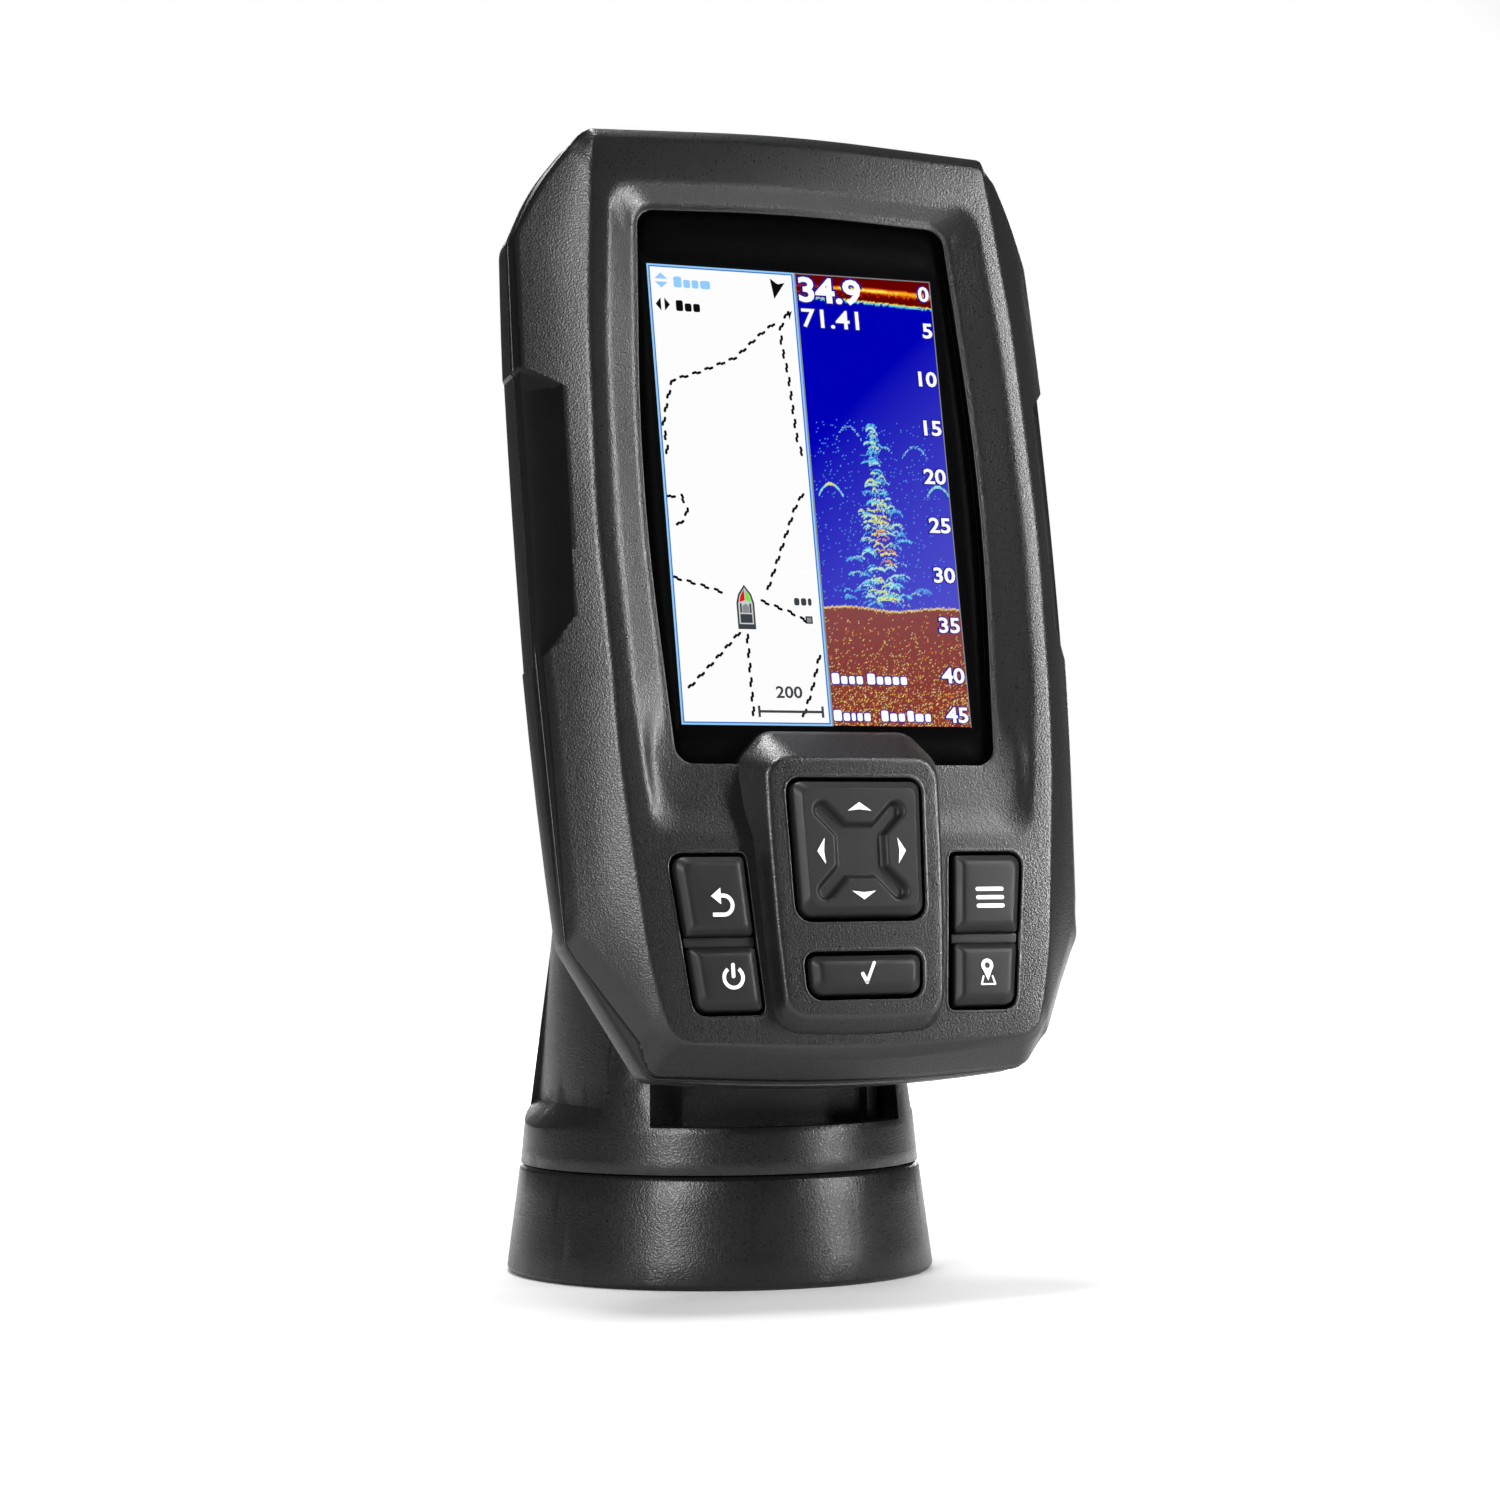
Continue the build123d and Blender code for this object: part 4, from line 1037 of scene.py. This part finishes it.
def outlined_number(name, text, x, v, height, bold, right=False):
    halo_x = x + (OUTLINE * height if right else 0)
    number(name + "_halo", text, halo_x, v, height, "navy", DECK, bold + OUTLINE, right)
    number(name, text, x, v, height, "white", DIGITS, bold, right)


def surface_clutter(picture, u, w, coarse, rng):
    """A dark red band with a bright streak and a ragged lower edge."""
    ragged = 33.15 - 0.75 * u[:1] ** 1.5 + 0.22 * rng.random(u.shape[1])[None, :]
    band = w > ragged
    picture[band] = (0.13, 0.0, 0.0)
    streak = 35.0 - 0.55 * u ** 2
    heat = np.exp(-((w - streak) / (0.34 + 0.25 * u)) ** 2)
    heat *= (0.35 + 0.65 * np.clip((u - 0.12) * 4, 0, 1)) * (1.15 - 0.45 * u)
    heat += 0.42 * np.exp(-((w - 33.9) / 0.5) ** 2) * coarse
    for threshold, tone in ((0.30, (0.35, 0.01, 0.0)), (0.48, (0.68, 0.10, 0.0)),
                            (0.66, (0.90, 0.42, 0.02)), (0.84, (0.95, 0.85, 0.15))):
        picture[band & (heat > threshold)] = tone
    picture[(w > ragged - 0.20) & (w <= ragged)] = (0.85, 0.75, 0.12)
    picture[(w > ragged - 0.48) & (w <= ragged - 0.20) & (coarse > 0.2)] = (0.10, 0.62, 0.80)


def sea_floor(picture, u, w, grains, coarse, rng):
    """Brown-red ground with warm speckles that thicken downwards. Returns the picture and its line."""
    line = -18.1 + 0.35 * np.sin(u * 9) + 0.3 * rng.random(u.shape[1])[None, :]
    ground = w < line
    depth = np.clip((line - w) / 19.0, 0, 1)
    share = depth[..., None]
    brown = np.array([0.25, 0.065, 0.065]) * (1 - share) + np.array([0.22, 0.035, 0.03]) * share
    picture = np.where(ground[..., None], brown, picture)
    speck = ground & (grains < 0.02 + 0.24 * depth ** 1.6)
    warm = np.array([(0.80, 0.30, 0.05), (0.92, 0.66, 0.10), (0.60, 0.10, 0.03), (0.90, 0.80, 0.30),
                     (0.55, 0.75, 0.62)])
    picture[speck] = warm[(rng.random(u.shape) * 4 + (coarse > 0.93) * 1).astype(int)][speck]
    picture[ground & (w > line - 0.30)] = (0.80, 0.62, 0.22)
    return picture, line


def fish_school(picture, x, w, grains, line, rng):
    """Many small arches that fill a cone over the bottom, warmest in its middle."""
    tones = np.array([(0.10, 0.42, 0.80), (0.16, 0.66, 0.85), (0.40, 0.82, 0.78), (0.62, 0.84, 0.34),
                      (0.88, 0.82, 0.12), (0.85, 0.35, 0.04)])
    for _ in range(190):
        spread = rng.random() ** 0.7
        middle_v = 12.5 - 30.0 * spread
        side = np.clip(rng.normal() * 0.45, -1, 1)
        middle_x = 11.2 + side * (0.4 + 7.0 * spread ** 1.3)
        wide, tall = rng.uniform(0.5, 1.0 + 0.8 * spread), rng.uniform(0.25, 0.9)
        offset = (x - middle_x) / wide
        stroke = np.abs(w - (middle_v - tall * offset ** 2)) < rng.uniform(0.12, 0.24)
        hit = stroke & (np.abs(offset) < 1) & (grains < rng.uniform(0.45, 0.95)) & (w > line)
        warmth = 1.5 * math.exp(-((middle_v + 6.5) / 9) ** 2) * math.exp(-(side / 0.4) ** 2)
        picture[hit] = tones[min(int(rng.uniform(0, 3.2) + 2.2 * warmth), 5)]


def stray_arches(picture, x, w, grains):
    """Single fish arches; the whole one has a warm crown."""
    for arch_x, top, width, height, kept in ((3.0, 2.2, 2.3, 2.2, 1.0), (22.2, 2.4, 2.2, 2.0, 0.8),
                                             (7.0, 11.8, 2.4, 2.6, 0.35), (18.6, 8.9, 2.6, 2.6, 0.35),
                                             (13.2, 8.6, 1.6, 1.6, 0.4)):
        away = np.abs(x - arch_x)
        arch = np.abs(w - (top - height * ((x - arch_x) / width) ** 2)) < 0.22
        mark = arch & (away < width * 0.95) & (grains < kept)
        picture[mark] = (0.30, 0.80, 0.75)
        if kept == 1.0:
            picture[mark & (away < width * 0.35)] = (0.72, 0.82, 0.20)


def sonar_colours(u, w):
    """Colour of the sonar picture at u across (0 to 1) and w millimetres above the screen's middle."""
    rng = np.random.default_rng(7)
    # The blue ground lightens towards the lower right: a painted sheen on the screen, blended into the
    # picture's colours.
    glow_and_sheen = np.clip((8 - w + 22 * u) / 60, 0, 1)[..., None]
    picture = np.array([0.0, 0.0, 0.47]) * (1 - glow_and_sheen) + np.array([0.10, 0.10, 0.64]) * glow_and_sheen
    grains = rng.random(u.shape)
    rows, columns = u.shape
    coarse = np.kron(rng.random((rows // 3 + 1, columns // 2 + 1)), np.ones((3, 2)))[:rows, :columns]
    surface_clutter(picture, u, w, coarse, rng)
    picture, line = sea_floor(picture, u, w, grains, coarse, rng)
    x = u * 24.1
    fish_school(picture, x, w, grains, line, rng)
    stray_arches(picture, x, w, grains)
    faint = (w > line) & (w < 13) & (np.abs(x - 11.0) < 11.4) & (grains < 0.018)
    picture[faint] = (0.12, 0.42, 0.85)
    return np.clip(picture, 0, 1)


def sonar_page():
    across, along = 156, 480
    x0, x1 = SPLIT + 0.25, HALF_W - 0.15
    xs = np.linspace(x0, x1, across)
    vs = np.linspace(-HALF_H + 0.1, HALF_H - 0.15, along)
    points = [head(x, v, PICTURE) for v in vs for x in xs]
    faces = []
    for j in range(along - 1):
        for i in range(across - 1):
            a = j * across + i
            faces.append((a, a + 1, a + 1 + across, a + across))
    page = mesh_object("sonar_page", points, faces, "sonar", "head", smooth=False)
    grid_u, grid_w = np.meshgrid((xs - x0) / (x1 - x0), vs)
    colours = sonar_colours(grid_u, grid_w).reshape(-1, 3)
    opaque = np.column_stack([colours, np.ones(len(colours))]).astype(np.float32)
    layer = page.data.color_attributes.new("picture", "FLOAT_COLOR", "POINT")
    layer.data.foreach_set("color", opaque.ravel())
    frame_strips = [rectangle(SPLIT, x0, -HALF_H, HALF_H), rectangle(x1, HALF_W, -HALF_H, HALF_H),
                    rectangle(SPLIT, HALF_W, HALF_H - 0.15, HALF_H)]
    flat("sonar_frame", frame_strips, LINE, "grey")
    heights = (33.6, 27.4, 19.2, 11.0, 2.9, -5.2, -13.4, -21.6, -29.8, -36.2)
    for k, v in enumerate(heights):
        text = str(5 * k)
        outlined_number("depth_" + text, text, HALF_W - 0.4, v, 2.5, 0.025, True)
    outlined_number("depth_reading", "34.9", 0.9, 32.4, 4.1, 0.03)
    outlined_number("water_reading", "71.41", 1.1, 28.1, 3.15, 0.012)
    setting = (1.1, (1.3, 1.1, 1.0, 1.1)), (7.2, (1.35, 1.1, 1.1, 1.1, 1.1))
    span = (0.9, (1.4, 1.1, 0.7, 0.9, 1.1)), (9.1, (1.2, 1.2, 1.1)), (13.6, (1.1, 1.4, 1.0))
    for name, v, groups in (("setting", -29.4, setting), ("range", -35.3, span)):
        blocks = [block for x, widths in groups for block in label_blocks(x, v, widths, 1.3, 1.75)]
        flat(name + "_halo", [list(grown(np.array(block), 0.16)) for block in blocks], HALO, "navy")
        flat(name + "_label", blocks, LABEL, "white")


def display():
    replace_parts(flat("lcd_panel_face", [rectangle(-25.6, 25.6, -40.0, 39.0)], -0.006, "black"), "lcd_panel")
    map_page()
    sonar_page()


def window():
    """The clear window, with its black print underneath."""
    half_x, half_v = HALF_W + 0.3, HALF_H + 0.3
    sight = around(symmetric([(0, half_v, 0), (half_x, half_v, 0.2), (half_x, -half_v, 0.2),
                              (0, -half_v, 0)]))
    edge = around(grown(LENS, 0.05))
    low, high = 0.62, 0.67
    border = [ring(edge, low), ring(edge, high), ring(sight, high), ring(sight, low), ring(edge, low)]
    print_ring = loft("window_border", border, [0] * 5, "border")
    outer, inner = around(grown(LENS, 0.1)), around(grown(LENS, -1.0))
    pane = [ring(outer, 0.75), ring(outer, 2.0), ring(inner, 2.0)]
    glass = loft("window_pane", pane, [0, 0, 0], "glass", close=True)
    glass.data.shade_flat()
    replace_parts(glass, "display_window")
    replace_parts(print_ring, "display_window")


# ---- CAD pieces that keep their shape
def soft_copy(node, material, body, width):
    """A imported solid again, with its flat faces merged and its hard edges rounded."""
    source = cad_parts[node]
    mesh = source.data.copy()
    made = bmesh.new()
    made.from_mesh(mesh)
    bmesh.ops.remove_doubles(made, verts=made.verts, dist=1e-6)
    bmesh.ops.dissolve_limit(made, angle_limit=math.radians(0.15), verts=made.verts, edges=made.edges)
    made.to_mesh(mesh)
    made.free()
    mesh.shade_smooth()
    piece = placed(node + "_finished", mesh, material, body)
    bevel = piece.modifiers.new("round", "BEVEL")
    bevel.width = width * MM
    bevel.segments = 2
    bevel.limit_method = "ANGLE"
    bevel.angle_limit = math.radians(20)
    bevel.use_clamp_overlap = True
    bevel.harden_normals = True
    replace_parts(piece, node)


def dress(material, nodes):
    """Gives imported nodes, whose shape is right, their finished material."""
    for node in nodes:
        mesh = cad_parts[node].data
        mesh.materials.clear()
        mesh.materials.append(M[material])


INSIDE = {
    "seal": ("window_seal", "shell_gasket", "connector_o_ring", "vent_plug"),
    "steel": ("swivel_bolt", "swivel_nut", "tilt_nut", "tilt_bolt", "board_screws", "shell_screws",
              "latch_pin", "lcd_bracket", "key_switches", "latch_spring", "swivel_wave_washer"),
    "acetal": ("swivel_glide_ring", "swivel_bushing", "tilt_washers", "tilt_bushings", "gimbal_cross",
               "backlight_unit"),
    "board": ("main_board",),
    "component": ("gps_antenna", "sonar_transformer", "buzzer", "capacitors", "keypad_guide"),
    "tin": ("shield_can",),
    "brass": ("connector_pins",),
    "film": ("display_flex",),
    "mount": ("base_plate",),
}


def keys():
    """The openings' lips, and the rubber keys that stand in them."""
    for label, side in (("left", -1), ("right", 1)):
        lip("opening_lip_" + label, side_hole(side), frame_depth)
        bridge("key_bridge_" + label, side)
    lip("opening_lip_rocker", ROCKER_HOLE, island_depth)
    lip("opening_lip_enter", ENTER_HOLE, island_depth)
    for upper, lower, side in (("menu_key", "mark_key", 1), ("back_key", "power_key", -1)):
        side_key(upper, side, -70.2, -58.1)
        side_key(lower, side, -81.4, -71.8)
    key_cap("enter_key", grown(ENTER_HOLE, -0.65), island_depth)
    direction_pad()


def mount():
    """The rear shell, the cradle and the mount: the CAD's own shapes with rounded edges."""
    for node, finish, body, width in (
        ("rear_shell", "rear", "head", 0.8),
        ("swivel_tower", "mount", "tower", 0.45),
        ("base_ring", "mount", "base", 0.45),
        ("cradle", "rear", "head", 0.4),
        ("release_latch", "rear", "release_latch", 0.35),
        ("connector_body", "rear", "head", 0.3),
    ):
        soft_copy(node, finish, body, width)


front_shell()
island()
keys()
icons()
display()
window()
for finish, nodes in INSIDE.items():
    dress(finish, nodes)
mount()


# ---- stage
DIM_SKY, FRONT_WALL = 0.05, 0.08
FLOOR_HALF = 4.0


def floor():
    """A pale floor that glows like a lit backdrop, least near the object and beside the camera's axis."""
    h = FLOOR_HALF
    corners = [(-h, -h, 0), (h, -h, 0), (h, h, 0), (-h, h, 0)]
    piece = linked("floor", raw_mesh("floor", corners, [(0, 1, 2, 3)]))
    n = Nodes("pale_floor")
    n.link(n.ramp(n.noise(3.0, 2.0), [(0.0, (0.49, 0.49, 0.49)), (1.0, (0.52, 0.52, 0.52))]),
           n.shader.inputs["Base Color"])
    near = n.between(n.vector("LENGTH", n.where), (0.07, 0.25), (0.04, 1.0))
    away = n.vector("SUBTRACT", n.where, (CAMERA_PLACE[0], CAMERA_PLACE[1], 0))
    along = n.vector("DOT_PRODUCT", away, LOOKING)
    across = n.vector("DOT_PRODUCT", away, (LOOKING[1], -LOOKING[0], 0))
    aside = n.combine("ABSOLUTE", n.combine("DIVIDE", across, along))
    backdrop = n.between(aside, (0.26, 0.90), (1.0, 0.18))
    n.link(n.combine("MULTIPLY", near, backdrop), n.shader.inputs["Emission Strength"])
    n.set(Roughness=0.9, Emission_Color=(1, 1, 1, 1))
    piece.data.materials.append(n.material)


def surroundings():
    """A bright wall behind the object, a dim one before it and a dim ceiling, as in a studio."""
    world = bpy.data.worlds.new("studio")
    bpy.context.scene.world = world
    world.use_nodes = True
    sky = Tree(world.node_tree)
    direction = sky.add("ShaderNodeTexCoord").outputs["Generated"]
    parts = sky.add("ShaderNodeSeparateXYZ")
    sky.link(direction, parts.inputs[0])
    behind = sky.vector("DOT_PRODUCT", direction, LOOKING)
    mix = sky.add("ShaderNodeMix")
    sky.link(sky.between(parts.outputs["Z"], (0.27, 0.40), (0.0, 1.0)), mix.inputs["Factor"])
    sky.link(sky.between(behind, (0.90, 0.95), (FRONT_WALL, 1.0)), mix.inputs["A"])
    mix.inputs["B"].default_value = DIM_SKY
    background = sky.tree.nodes["Background"]
    sky.link(mix.outputs["Result"], background.inputs["Color"])
    background.inputs["Strength"].default_value = 1.0


def area_light(name, place, target, size, power):
    data = bpy.data.lights.new(name, "AREA")
    data.shape = "RECTANGLE"
    data.size, data.size_y = size
    data.energy = power
    lamp = linked(name, data)
    lamp.location = place
    lamp.rotation_mode = "QUATERNION"
    lamp.rotation_quaternion = (Vector(target) - Vector(place)).to_track_quat("-Z", "Y")
    lamp.visible_camera = False


floor()
surroundings()
area_light("left_softbox", (-0.62, -0.50, 0.38), (0, -0.02, 0.10), (0.16, 0.55), 8.0)
area_light("low_right_softbox", (0.25, -0.27, 0.085), (0.02, -0.02, 0.03), (0.03, 0.10), 0.50)
area_light("right_softbox", (0.122, -0.146, 0.165), (0.04, -0.045, 0.120), (0.022, 0.18), 0.50)
area_light("top_softbox", (-0.04, 0.06, 0.78), (0, -0.03, 0), (0.22, 0.22), 7.5)
area_light("back_softbox", (0.35, 0.75, 0.30), (0, 0.02, 0.10), (0.6, 0.4), 5.0)
bpy.context.scene.view_settings.view_transform = "Standard"
